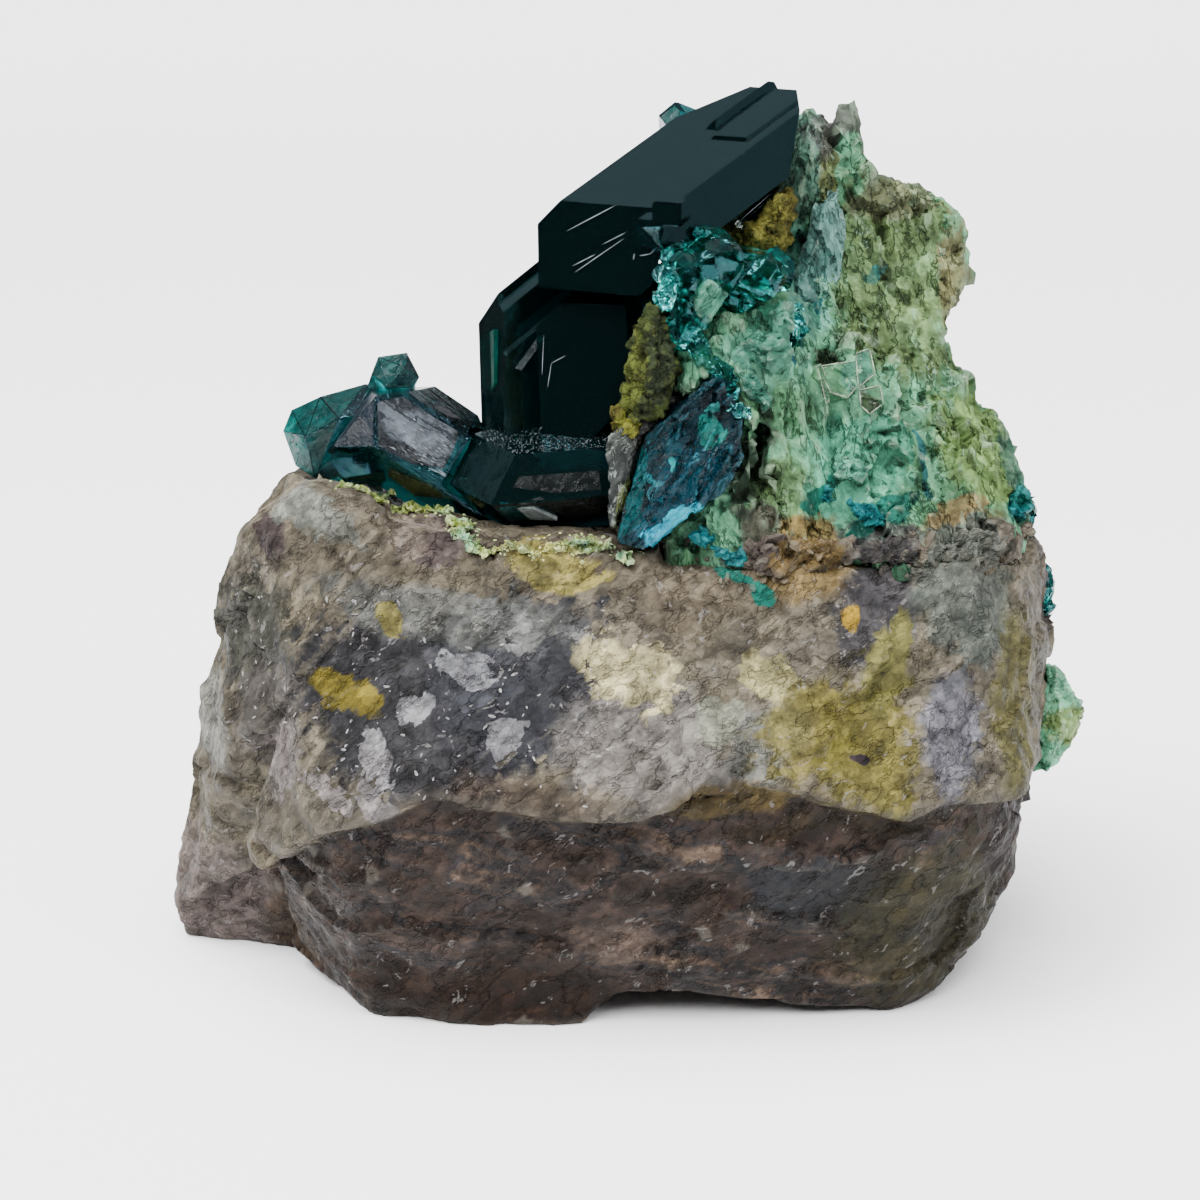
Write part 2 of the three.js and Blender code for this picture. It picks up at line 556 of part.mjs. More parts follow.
// Each piece leaves room for the ones before it: the crystals grew first and keep their full shape.
const PIECES = {
  dioptase_main_cluster: (grow) => crystals(MAIN_CRYSTALS, grow),
  dioptase_left_cluster: (grow) => join([
    crystals(LEFT_CRYSTALS, grow), solidFromPlanes(hullPlanes(LEFT_BLUNT), grow), knobs(LEFT_KNOBS, grow),
  ]),
  dioptase_knob_cluster: (grow) => knobs(KNOB_CLUSTER, grow),
  dioptase_blade: (grow) => solidFromPlanes(bladePlanes(), grow),
  quartz_shard: (grow) => solidFromPlanes(hullPlanes(SHARD), grow),
  ochre_lump_upper: (grow) => knobs(OCHRE_UPPER, grow),
  ochre_lump_lower: (grow) => knobs(OCHRE_LOWER, grow),
  dioptase_edge_crystals: (grow) => knobs(EDGE_CRYSTALS, grow),
  mint_tooth: (grow) => solidFromPlanes(hullPlanes(TOOTH), grow),
};
const names = Object.keys(PIECES);
const rooms = names.map((name) => PIECES[name](GAP));
const shapes = names.map((name, i) => cut(PIECES[name](0), rooms.slice(0, i)));
const small = Object.fromEntries(names.map((name, i) => [name, shapes[i]]));

function makeQuartz() {
  const chunks = join(Object.values(QUARTZ_CHUNKS).map(chunk));
  const shaped = cut(chunks, Object.values(QUARTZ_CUTS).map(chunk));
  const rough = roughen(shaped, QUARTZ_GRAIN);
  const room = block([SEAM_LEFT, -FAR, PART_LINE - GAP], [FAR, FAR, FAR]);
  return cut(rough, [GROUND, room, ...rooms]);
}

function makeRidge() {
  const chunks = join(Object.values(RIDGE_CHUNKS).map(chunk));
  const shaped = cut(chunks, Object.values(RIDGE_CUTS).map(chunk));
  const rough = roughen(shaped, CRUST_GRAIN);
  const below = block([-FAR, -FAR, -FAR], [FAR, FAR, PART_LINE]);
  const beside = block([-FAR, -FAR, -FAR], [RIDGE_LEFT, FAR, SEAM_STEP]);
  return cut(rough, [below, beside, ...rooms]);
}

const group = new THREE.Group();

function add(name, solid, color, roughness) {
  const material = new THREE.MeshStandardMaterial({ color, roughness, metalness: 0 });
  const mesh = new THREE.Mesh(toGeometry(solid), material);
  mesh.name = name;
  group.add(mesh);
}

add('quartz_matrix', makeQuartz(), 0x8a8474, 0.6);
add('green_crust_ridge', makeRidge(), 0x93b89c, 0.8);
add('dioptase_main_cluster', small.dioptase_main_cluster, 0x0c4a44, 0.1);
add('dioptase_left_cluster', small.dioptase_left_cluster, 0x0f5a52, 0.1);
add('dioptase_knob_cluster', small.dioptase_knob_cluster, 0x126b66, 0.2);
add('dioptase_blade', small.dioptase_blade, 0x1b6473, 0.2);
add('quartz_shard', small.quartz_shard, 0x77757a, 0.5);
add('ochre_lump_upper', small.ochre_lump_upper, 0x9a8b3c, 0.9);
add('ochre_lump_lower', small.ochre_lump_lower, 0x8f8845, 0.9);
add('dioptase_edge_crystals', small.dioptase_edge_crystals, 0x14796c, 0.2);
add('mint_tooth', small.mint_tooth, 0xa4d6bc, 0.4);

export default group;
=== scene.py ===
# %% [markdown]
# # A dioptase specimen on quartz
#
# Dioptase is a copper silicate that grows as short six-sided crystals of a very dark green. Here they sit
# on the ledge of a broken lump of quartz, beside a wall of pale green crust. This lesson dresses the
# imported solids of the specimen: rock skins get chips and grain from Geometry Nodes, crystals get crisp
# bevelled edges and a glass that swallows light, and small crusts, flakes and grains are scattered last.
#
# All sizes below are in millimetres, and a piece is brought to metres in its last step.

import math

import bmesh
import bpy
import numpy as np
from mathutils import Matrix, Vector
from mathutils.bvhtree import BVHTree


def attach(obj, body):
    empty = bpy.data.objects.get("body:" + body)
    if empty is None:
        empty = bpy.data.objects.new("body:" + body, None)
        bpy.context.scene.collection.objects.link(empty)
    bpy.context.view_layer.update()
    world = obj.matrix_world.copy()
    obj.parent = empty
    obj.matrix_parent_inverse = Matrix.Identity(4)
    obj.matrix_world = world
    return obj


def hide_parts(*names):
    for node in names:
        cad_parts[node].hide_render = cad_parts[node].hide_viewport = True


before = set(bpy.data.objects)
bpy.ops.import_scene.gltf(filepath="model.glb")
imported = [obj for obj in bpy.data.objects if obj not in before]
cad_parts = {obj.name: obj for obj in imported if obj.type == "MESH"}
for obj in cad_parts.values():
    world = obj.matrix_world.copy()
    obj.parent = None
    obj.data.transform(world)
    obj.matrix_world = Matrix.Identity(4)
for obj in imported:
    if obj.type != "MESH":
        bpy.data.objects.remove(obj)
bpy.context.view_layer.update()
MM = 0.001
print("solids:", sorted(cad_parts))

# %% [markdown]
# ## The camera and the studio
#
# A specimen is shown from a little above its ledge. The sky over it is one large soft white, which fades
# towards the front, so that polished crystal faces turned to the viewer stay dark and the ones turned
# upwards show a grey sheen. The floor is a plain pale sheet.

# %% Camera
CAMERA_AIM = Vector((-1.85, 0.0, 18.8))
CAMERA_DISTANCE = 122.0
CAMERA_ELEVATION = math.radians(14)
FRAME_WIDTH = 1200
PIXELS_PER_SLOPE = 2239          # image pixels for one unit of sideways distance over depth
SENSOR = 36.0
NEAREST = 0.005                  # nothing nearer than 5 mm is drawn


def new_object(name, data):
    """A new object that shows this data, linked into the scene."""
    made = bpy.data.objects.new(name, data)
    bpy.context.scene.collection.objects.link(made)
    return made


camera = new_object("camera", bpy.data.cameras.new("camera"))
away = Vector((0, -math.cos(CAMERA_ELEVATION), math.sin(CAMERA_ELEVATION)))
camera.location = (CAMERA_AIM + CAMERA_DISTANCE * away) * MM
camera.rotation_euler = (math.pi / 2 - CAMERA_ELEVATION, 0, 0)
camera.data.sensor_width = SENSOR
camera.data.lens = SENSOR * PIXELS_PER_SLOPE / FRAME_WIDTH
camera.data.clip_start = NEAREST
bpy.context.scene.camera = camera
print("lens:", round(camera.data.lens, 1), "mm")

# %% [markdown]
# ## Small words for node trees
#
# Every finish and every broken skin here is a node tree. The helpers below each add one or two nodes and
# give back the socket that carries the result, so that a tree reads like a sum.


# %% Arithmetic nodes
def add(tree, kind, inputs=None, **settings):
    """Adds a node. An input is linked if its value is a socket, and set if it is a number or a colour."""
    made = tree.nodes.new(kind)
    for name, value in settings.items():
        setattr(made, name, value)
    for name, value in (inputs or {}).items():
        if isinstance(value, bpy.types.NodeSocket):
            tree.links.new(value, made.inputs[name])
        else:
            made.inputs[name].default_value = value
    return made


def calc(tree, operation, a, b=0.0):
    """One sum on one or two numbers."""
    return add(tree, "ShaderNodeMath", {0: a, 1: b}, operation=operation).outputs[0]


def times_plus(tree, a, b, c):
    """a times b, plus c."""
    return add(tree, "ShaderNodeMath", {0: a, 1: b, 2: c}, operation="MULTIPLY_ADD").outputs[0]


def ease(tree, value, low, high, to=(0.0, 1.0)):
    """Runs smoothly from to[0] to to[1] as value goes from low to high."""
    sockets = {"Value": value, "From Min": low, "From Max": high, "To Min": to[0], "To Max": to[1]}
    return add(tree, "ShaderNodeMapRange", sockets, interpolation_type="SMOOTHSTEP").outputs[0]


def vector(tree, operation, a, b=None, scale=None):
    """One sum on one or two vectors."""
    sockets = {0: a}
    if b is not None:
        sockets[1] = b
    if scale is not None:
        sockets["Scale"] = scale
    made = add(tree, "ShaderNodeVectorMath", sockets, operation=operation)
    return made.outputs["Value" if operation in ("LENGTH", "DOT_PRODUCT") else "Vector"]


# %% Pattern nodes
def noise(tree, place, size, detail, rough=0.55):
    """Noise with features of about this size in millimetres. Returns its value and its colour."""
    sockets = {"Vector": place, "Scale": 1.0 / size, "Detail": detail, "Roughness": rough}
    made = add(tree, "ShaderNodeTexNoise", sockets)
    return made.outputs[0], made.outputs[1]


def flow(tree, place, turn, stretch):
    """Turns a place about Y and scales its new X. With stretch < 1, a pattern runs long up that direction."""
    turned = add(tree, "ShaderNodeVectorRotate", {"Vector": place, "Angle": turn}, rotation_type="Y_AXIS")
    parts = add(tree, "ShaderNodeSeparateXYZ", {0: turned.outputs[0]}).outputs
    along = calc(tree, "MULTIPLY", parts[0], stretch)
    return add(tree, "ShaderNodeCombineXYZ", {0: along, 1: parts[1], 2: parts[2]}).outputs[0]


def drifted(tree, place, wander, reach):
    """A place pushed about by a noise colour, by up to half of reach."""
    drift = vector(tree, "SUBTRACT", wander, (0.5, 0.5, 0.5))
    return vector(tree, "ADD", place, vector(tree, "SCALE", drift, scale=reach))


def profile(tree, value, points):
    """The height of a chain of (position, height) points at this value."""
    left, right = points[0][0], points[-1][0]
    top = max(height for _, height in points)
    span = {"Value": value, "From Min": left, "From Max": right}
    share = add(tree, "ShaderNodeMapRange", span).outputs[0]
    curve = add(tree, "ShaderNodeFloatCurve", {"Value": share})
    chain = curve.mapping.curves[0].points
    chain[0].location = (0.0, points[0][1] / top)
    chain[1].location = (1.0, points[-1][1] / top)
    for position, height in points[1:-1]:
        chain.new((position - left) / (right - left), height / top)
    for point in chain:
        point.handle_type = "VECTOR"
    curve.mapping.update()
    return calc(tree, "MULTIPLY", curve.outputs[0], top)


# %% Colour nodes
def blend(tree, share, a, b, mode="MIX"):
    """Mixes two colours: none of b where share is 0, all of it where it is 1."""
    made = add(tree, "ShaderNodeMix", data_type="RGBA", blend_type=mode)
    for socket, value in ((0, share), (6, a), (7, b)):
        if isinstance(value, bpy.types.NodeSocket):
            tree.links.new(value, made.inputs[socket])
        else:
            made.inputs[socket].default_value = value
    return made.outputs[2]


def colour(name):
    """A colour written as six hex digits, as the linear numbers that Blender's nodes use."""
    parts = [int(name[i:i + 2], 16) / 255 for i in (0, 2, 4)]
    return tuple(p / 12.92 if p <= 0.04045 else ((p + 0.055) / 1.055) ** 2.4 for p in parts) + (1.0,)


def ramp(tree, value, stops):
    """A colour that runs through (position, colour) stops."""
    made = add(tree, "ShaderNodeValToRGB", {0: value})
    band = made.color_ramp.elements
    for element, (position, name) in zip((band[0], band[1]), (stops[0], stops[-1])):
        element.position = position
        element.color = colour(name)
    for position, name in stops[1:-1]:
        band.new(position).color = colour(name)
    return made.outputs[0]


# %% [markdown]
# ## Light
#
# Dark, polished crystals are drawn by what they mirror, so the light is mostly a matter of where it is pale
# and where it is dark. Two soft boxes give sheen, one broad light gives soft shadows, and gloss never sees
# the broad light itself.

# %% The sky
SKY_TOP = 0.72           # straight up
SKY_DARK = 0.06          # low, towards the front left
SKY_BRIGHT = 1.0         # low, towards the back right
BACKDROP = 3.6           # behind the floor, seen straight from the camera
DARK_SIDE = (-0.574, -0.819, 0.0)
SKY_TURN = (0.8, -0.9)   # the low sky brightens between these, from facing the dark side to facing away
SKY_RISE = (0.25, 0.75)  # and turns into the top between these heights

world = bpy.data.worlds.new("studio")
bpy.context.scene.world = world
world.use_nodes = True
sky = world.node_tree
sky.nodes.clear()
direction = add(sky, "ShaderNodeTexCoord").outputs["Generated"]
axes = add(sky, "ShaderNodeSeparateXYZ", {0: direction})
level = ease(sky, vector(sky, "DOT_PRODUCT", direction, DARK_SIDE), *SKY_TURN, (SKY_DARK, SKY_BRIGHT))
height = ease(sky, axes.outputs[2], *SKY_RISE)


def between(tree, share, a, b):
    """A number that goes from a to b as share goes from 0 to 1."""
    part_a = calc(tree, "MULTIPLY", a, calc(tree, "SUBTRACT", 1.0, share))
    return calc(tree, "ADD", part_a, calc(tree, "MULTIPLY", share, b))


strength = between(sky, height, level, SKY_TOP)
# what the camera sees behind the floor is as pale as the floor
strength = between(sky, add(sky, "ShaderNodeLightPath").outputs["Is Camera Ray"], strength, BACKDROP)
background = add(sky, "ShaderNodeBackground", {"Color": colour("fbfcff"), "Strength": strength})
add(sky, "ShaderNodeOutputWorld", {"Surface": background.outputs[0]})
print("sky nodes:", len(sky.nodes))


# %% The lamps
def softbox(name, place, aim, size, power):
    """A square area lamp at place, turned to aim. Millimetres and watts."""
    lamp = new_object(name, bpy.data.lights.new(name, "AREA"))
    lamp.data.size = size * MM
    lamp.data.energy = power
    lamp.location = Vector(place) * MM
    lamp.rotation_euler = (Vector(aim) - Vector(place)).to_track_quat("-Z", "Y").to_euler()
    print(name, "shines with", power, "W")


softbox("key_softbox", place=(-130, -90, 260), aim=(0, 0, 20), size=110, power=0.7)
softbox("glint_softbox", place=(270, -240, 230), aim=(-10, -6, 29), size=90, power=0.7)

SUN_POWER = 11.0
SUN_SPREAD = math.radians(75)                # a wide sun throws a soft shadow
SUN_DIRECTION = Vector((0.25, 0.35, -1.0))
sun = new_object("broad_light", bpy.data.lights.new("broad_light", "SUN"))
sun.data.energy = SUN_POWER
sun.data.angle = SUN_SPREAD
sun.rotation_euler = SUN_DIRECTION.to_track_quat("-Z", "Y").to_euler()
sun.visible_glossy = False

# %% The floor
# A plain sheet, given in metres. Its far end, a metre behind the specimen, bends up to hide the horizon.
FLOOR_HALF = 1.8
SHEET = [(-0.35, 0.0), (0.9, 0.0), (1.1, 0.015), (1.25, 0.05), (1.35, 0.11), (1.4, 0.2)]   # as (y, z)
sheet_corners = [(side * FLOOR_HALF, y, z) for y, z in SHEET for side in (-1, 1)]
strips = [(2 * i, 2 * i + 1, 2 * i + 3, 2 * i + 2) for i in range(len(SHEET) - 1)]
floor_mesh = bpy.data.meshes.new("floor")
floor_mesh.from_pydata(sheet_corners, [], strips)
floor_mesh.shade_smooth()
floor = new_object("floor", floor_mesh)


def new_material(name):
    """An empty material with a Principled shader, and the tree and shader to build it with."""
    made = bpy.data.materials.new(name)
    made.use_nodes = True
    made.node_tree.nodes.clear()
    tree = made.node_tree
    skin = add(tree, "ShaderNodeBsdfPrincipled")
    add(tree, "ShaderNodeOutputMaterial", {"Surface": skin.outputs[0]})
    return made, tree, skin


def matt(name, tone, roughness):
    """A plain matt material of one colour."""
    made, _, skin = new_material(name)
    skin.inputs["Base Color"].default_value = colour(tone)
    skin.inputs["Roughness"].default_value = roughness
    return made


floor.data.materials.append(matt("pale_floor", "f6f6f6", 0.9))
print("floor is", 2 * FLOOR_HALF, "m wide")

# %% The dark card
# It stands to the left and keeps the bright floor out of the crystals' left faces. Only gloss sees it.
CARD_FOOT = [(-0.34, 0.02), (-0.16, 0.30)]   # its two lower corners, as (x, y) in metres
CARD_HEIGHT = 0.26
card_corners = [(*CARD_FOOT[0], 0.0), (*CARD_FOOT[1], 0.0), (*CARD_FOOT[1], CARD_HEIGHT),
                (*CARD_FOOT[0], CARD_HEIGHT)]
card_mesh = bpy.data.meshes.new("dark_card")
card_mesh.from_pydata(card_corners, [], [(0, 1, 2, 3)])
card = new_object("dark_card", card_mesh)
for ray in ("camera", "diffuse", "transmission", "volume_scatter", "shadow"):
    setattr(card, "visible_" + ray, False)
card.data.materials.append(matt("dark_felt", "1a1c1c", 0.95))
print("card hidden from all but gloss")

# %% [markdown]
# ## From a solid to a rock skin
#
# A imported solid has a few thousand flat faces. A copy of it is merged, remeshed into small even squares
# and eased a little, so that its edges are no longer ruler-straight. The Geometry Nodes tree below then
# breaks the skin: each Voronoi cell tips like a small cleavage face, ripples run over it, and grain
# finishes it. Near the ground the skin is left alone, so that the lump still rests on its flat underside.


# %% Copy, remesh and bake
SAME_PLACE = 0.002       # corners nearer than this are merged


def plain_copy(node, name):
    """A merged copy of a CAD solid, in millimetres."""
    piece = new_object(name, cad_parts[node].data.copy())
    piece.data.materials.clear()
    piece.data.transform(Matrix.Scale(1 / MM, 4))
    shape = bmesh.new()
    shape.from_mesh(piece.data)
    bmesh.ops.remove_doubles(shape, verts=shape.verts, dist=SAME_PLACE)
    shape.to_mesh(piece.data)
    shape.free()
    return piece


def settle(piece):
    """Turns what the modifiers show into the piece's own plain mesh, and removes them."""
    seen = piece.evaluated_get(bpy.context.evaluated_depsgraph_get())
    mesh = bpy.data.meshes.new_from_object(seen)
    piece.modifiers.clear()
    old, piece.data = piece.data, mesh
    bpy.data.meshes.remove(old)
    return piece


def remesh(piece, square, smooth_steps):
    """Covers a solid with even squares of this size, then eases its edges."""
    skin = piece.modifiers.new("skin", "REMESH")
    skin.mode = "VOXEL"
    skin.voxel_size = square
    if smooth_steps:
        easing = piece.modifiers.new("easing", "SMOOTH")
        easing.factor = 0.5
        easing.iterations = smooth_steps
    return settle(piece)


def coarsen(piece, share):
    """Joins small faces into fewer, larger flat ones, and keeps this share of them."""
    fewer = piece.modifiers.new("coarser", "DECIMATE")
    fewer.ratio = share
    return settle(piece)


def shape_with(piece, tree, **values):
    """Runs a Geometry Nodes tree over a piece. Inputs are given by name, with _ for a space."""
    modifier = piece.modifiers.new(tree.name, "NODES")
    modifier.node_group = tree
    for item in tree.interface.items_tree:
        key = item.name.lower().replace(" ", "_")
        if item.item_type == "SOCKET" and item.in_out == "INPUT" and key in values:
            modifier[item.identifier] = values[key]
    return settle(piece)


# %% The last step of every piece
def finish(piece, material, slot, *nodes):
    """Brings a piece to metres, gives it its finish and lets it stand for its CAD solids."""
    piece.data.transform(Matrix.Scale(MM, 4))
    piece.data.materials.clear()
    piece.data.materials.append(material)
    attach(piece, "root")
    if nodes:
        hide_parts(*nodes)
    triangles = sum(len(p.vertices) - 2 for p in piece.data.polygons)
    print(piece.name, "has", triangles, "triangles")
    return piece


# %% An empty Geometry Nodes tree
def new_tree(name, sizes):
    """A Geometry Nodes tree with a geometry input and output, and named number inputs."""
    tree = bpy.data.node_groups.new(name, "GeometryNodeTree")
    tree.interface.new_socket("Geometry", in_out="INPUT", socket_type="NodeSocketGeometry")
    for label, value in sizes.items():
        socket = tree.interface.new_socket(label, in_out="INPUT", socket_type="NodeSocketFloat")
        socket.default_value = value
    tree.interface.new_socket("Geometry", in_out="OUTPUT", socket_type="NodeSocketGeometry")
    return tree, add(tree, "NodeGroupInput").outputs


# %% The tree that breaks a skin
def chips(tree, place, size, seed_shift):
    """Tipped flat cells, as broken quartz has. Returns a height of about -0.5 to 0.5."""
    moved = vector(tree, "ADD", place, (seed_shift, 2 * seed_shift, 3 * seed_shift))
    cell = add(tree, "ShaderNodeTexVoronoi", {"Vector": moved, "Scale": calc(tree, "DIVIDE", 1.0, size)})
    lean = vector(tree, "SUBTRACT", cell.outputs["Color"], (0.5, 0.5, 0.5))
    across = vector(tree, "SUBTRACT", moved, cell.outputs["Position"])
    return calc(tree, "DIVIDE", vector(tree, "DOT_PRODUCT", lean, across), calc(tree, "MULTIPLY", size, 0.5))


# the edge where the leaning front turns into the undercut, as (x, z) from left to right
BREAK_EDGE = [
    (-26.0, 1.5), (-20.6, 5.4), (-17.6, 8.8), (-14.9, 10.9), (-12.5, 11.9), (-10.0, 13.1), (-6.6, 12.5),
    (-3.7, 12.0), (0.1, 12.1), (1.3, 12.7), (3.0, 13.9), (5.8, 13.7), (7.7, 13.1), (10.7, 12.3), (12.9, 11.7),
    (14.9, 12.5), (19.2, 11.7), (26.0, 11.5),
]
STEP_REACH = 3.5         # how far above and below the edge the step fades out
STEP_BEND = 0.35         # how far above and below the edge the step itself runs
STEP_SIDES = (-1.0, 0.7)     # how deep it is cut below the edge and raised above it, in step depths
STEP_FRONT = (-2.0, -5.0)    # it grows from nothing to full between these places from back to front
GRAIN_BEND = 1.6         # how far the cells' borders are bent


def make_break_tree():
    """The tree itself. All its sizes are inputs, and a depth of 0 leaves that kind of break out."""
    tree, given = new_tree("broken_skin", {
        "Chip size": 3.0, "Chip depth": 0.0, "Flake size": 1.0, "Flake depth": 0.0, "Ripple size": 5.0,
        "Ripple depth": 0.0, "Pit size": 0.8, "Pit depth": 0.0, "Stretch": 1.0, "Turn": 0.0, "Low": -9.0,
        "High": 99.0, "Margin": 1.0, "Step depth": 0.0,
    })
    place = add(tree, "GeometryNodeInputPosition").outputs[0]
    bent = drifted(tree, place, noise(tree, place, 3.0, 2.0)[1], GRAIN_BEND)
    grain = flow(tree, bent, given["Turn"], given["Stretch"])

    height = calc(tree, "MULTIPLY", chips(tree, grain, given["Chip size"], 11.0), given["Chip depth"])
    flakes = calc(tree, "MULTIPLY", chips(tree, grain, given["Flake size"], 29.0), given["Flake depth"])
    height = calc(tree, "ADD", height, flakes)
    ripple_place = vector(tree, "SCALE", grain, scale=calc(tree, "DIVIDE", 1.0, given["Ripple size"]))
    ripple = calc(tree, "SUBTRACT", noise(tree, ripple_place, 1.0, 4.0, 0.5)[0], 0.5)
    height = calc(tree, "ADD", height, calc(tree, "MULTIPLY", ripple, given["Ripple depth"]))
    pit_place = vector(tree, "SCALE", bent, scale=calc(tree, "DIVIDE", 1.0, given["Pit size"]))
    pit = ease(tree, noise(tree, pit_place, 1.0, 3.0, 0.6)[0], 0.5, 0.36, (0.0, -1.0))
    height = calc(tree, "ADD", height, calc(tree, "MULTIPLY", pit, given["Pit depth"]))

    spot = add(tree, "ShaderNodeSeparateXYZ", {0: place}).outputs
    rise = calc(tree, "SUBTRACT", spot[2], profile(tree, spot[0], BREAK_EDGE))
    step = ease(tree, rise, -STEP_BEND, STEP_BEND, STEP_SIDES)
    step = calc(tree, "MULTIPLY", step, ease(tree, calc(tree, "ABSOLUTE", rise), 0.0, STEP_REACH, (1.0, 0.0)))
    step = calc(tree, "MULTIPLY", step, ease(tree, spot[1], *STEP_FRONT))
    height = calc(tree, "ADD", height, calc(tree, "MULTIPLY", step, given["Step depth"]))

    above = ease(tree, spot[2], given["Low"], calc(tree, "ADD", given["Low"], given["Margin"]))
    below = ease(tree, spot[2], calc(tree, "ADD", given["High"], given["Margin"]), given["High"])
    height = calc(tree, "MULTIPLY", height, calc(tree, "MULTIPLY", above, below))
    push = vector(tree, "SCALE", add(tree, "GeometryNodeInputNormal").outputs[0], scale=height)
    moved = add(tree, "GeometryNodeSetPosition", {"Geometry": given["Geometry"], "Offset": push})
    add(tree, "NodeGroupOutput", {0: moved.outputs[0]})
    return tree


broken_skin = make_break_tree()
print("tree:", broken_skin.name, "with", len(broken_skin.nodes), "nodes")

# %% [markdown]
# ## The lump and the wall
#
# The quartz is broken three times: long slow ripples and the step along its front, then chips that climb to
# the right on the leaning front, then flatter flakes in the undercut below. The crust wall gets upright
# chips, since it is a stack of thin upright fibres.

# %% The quartz lump
FRONT_LOW = 12.4         # the leaning front starts above this height
UNDERCUT_TOP = FRONT_LOW - 1.6
UP_RIGHT = math.radians(40)      # the ways that the grain runs
DOWN_RIGHT = math.radians(-8)
UPRIGHT = math.radians(98)

quartz = remesh(plain_copy("quartz_matrix", "quartz_lump"), 0.28, 3)
shape_with(quartz, broken_skin, ripple_size=9.0, ripple_depth=1.6, step_depth=0.55, low=0.0, margin=1.5)
shape_with(quartz, broken_skin, chip_size=3.6, chip_depth=0.42, flake_size=1.1, flake_depth=0.16,
           ripple_size=1.2, ripple_depth=0.18, stretch=0.55, turn=UP_RIGHT, low=FRONT_LOW)
shape_with(quartz, broken_skin, chip_size=4.0, chip_depth=0.5, flake_size=1.3, flake_depth=0.12,
           ripple_size=1.9, ripple_depth=0.9, stretch=0.28, turn=DOWN_RIGHT, low=0.0, high=UNDERCUT_TOP)
print("quartz lump:", len(quartz.data.polygons), "faces")


# %% The crust wall
def lower_foot(piece, seam, drop):
    """Moves a skin's foot down into what carries it, so that no gap shows between them."""
    for point in piece.data.vertices:
        if point.co.z < seam:
            point.co.z -= drop


CRUST_SEAM = 23.65       # the wall's lowest skin lies below this height
crust = remesh(plain_copy("green_crust_ridge", "crust_wall"), 0.2, 2)
lower_foot(crust, CRUST_SEAM, 1.0)
shape_with(crust, broken_skin, ripple_size=5.0, ripple_depth=1.2)
shape_with(crust, broken_skin, chip_size=2.6, chip_depth=0.7, flake_size=0.8, flake_depth=0.26,
           ripple_size=0.9, ripple_depth=0.22, pit_size=1.5, pit_depth=0.15, stretch=0.32, turn=UPRIGHT)
print("crust wall:", len(crust.data.polygons), "faces")

# %% [markdown]
# ## The stone finishes
#
# Quartz from a copper deposit is never one colour. Its finish starts as a mottled warm grey and is then
# stained, one named stain after another: each is an ellipsoid with a torn edge, given by its middle, its
# three half sizes and its turn in the front plane.


# %% Stains
def stain(tree, place, ragged, middle, half, turn=0.0, soft=0.35, torn=0.9, strength=1.0):
    """How far inside a torn-edged ellipsoid a point lies, from 0 to strength."""
    inside = add(tree, "ShaderNodeMapping", {
        "Vector": place, "Location": middle, "Rotation": (0.0, math.radians(turn), 0.0), "Scale": half,
    }, vector_type="TEXTURE").outputs[0]
    reach = times_plus(tree, ragged, torn, vector(tree, "LENGTH", inside))
    return ease(tree, reach, 1.0 + soft / 2, 1.0 - soft / 2, (0.0, strength))


def with_stains(tree, tone, bent, ragged, stains):
    """Lays a list of named stains over a colour, the last one uppermost."""
    for _, name, middle, half, turn, soft, torn, strength in stains:
        inside = stain(tree, bent, ragged, middle, half, turn, soft, torn, strength)
        tone = blend(tree, inside, tone, colour(name))
    return tone


# %% Grains
def cells(tree, place, size, feature="F1"):
    """Crisp patches of about this size: a random number for each, or the distance to the nearest border."""
    made = add(tree, "ShaderNodeTexVoronoi", {"Vector": place, "Scale": 1.0 / size}, feature=feature)
    if feature == "DISTANCE_TO_EDGE":
        return made.outputs["Distance"]
    return add(tree, "ShaderNodeSeparateColor", {0: made.outputs["Color"]}).outputs[0]


def tinted(tree, tone, bright):
    """A colour made brighter or darker by a number."""
    grey = add(tree, "ShaderNodeCombineColor", {0: bright, 1: bright, 2: bright}).outputs[0]
    return blend(tree, 1.0, tone, grey, "MULTIPLY")


# %% The stone finish
SLOW = 4.0               # sizes: the slow changes of tone
MOTTLE = 0.9             # the mottle
BITE = 0.55              # the angular bites in a stain's edge
BLOCK = 1.2              # the larger grains
GRAIN = 0.42             # the small grains
# the bright flecks are pale grains, and on the quartz they are also painted glints
FLECK = 0.7              # the bright flecks
RIFT = 1.6               # the dark cracks lie about this far apart
RIFT_LEVEL = 0.47        # a crack runs where its noise has this value
STAIN_BEND = 3.0         # how far a stain is bent, and then the bites and the grains
BITE_BEND = 1.0
GRAIN_BEND_FINE = 0.5
EDGE_WORN = (0.51, 0.62)     # an edge turns pale between these values of Pointiness
# painted shade: a hollow darkens to the crack colour between these values of Pointiness
PAINTED_HOLLOW_SHADE = (0.485, 0.41)    # and a hollow turns dark between these


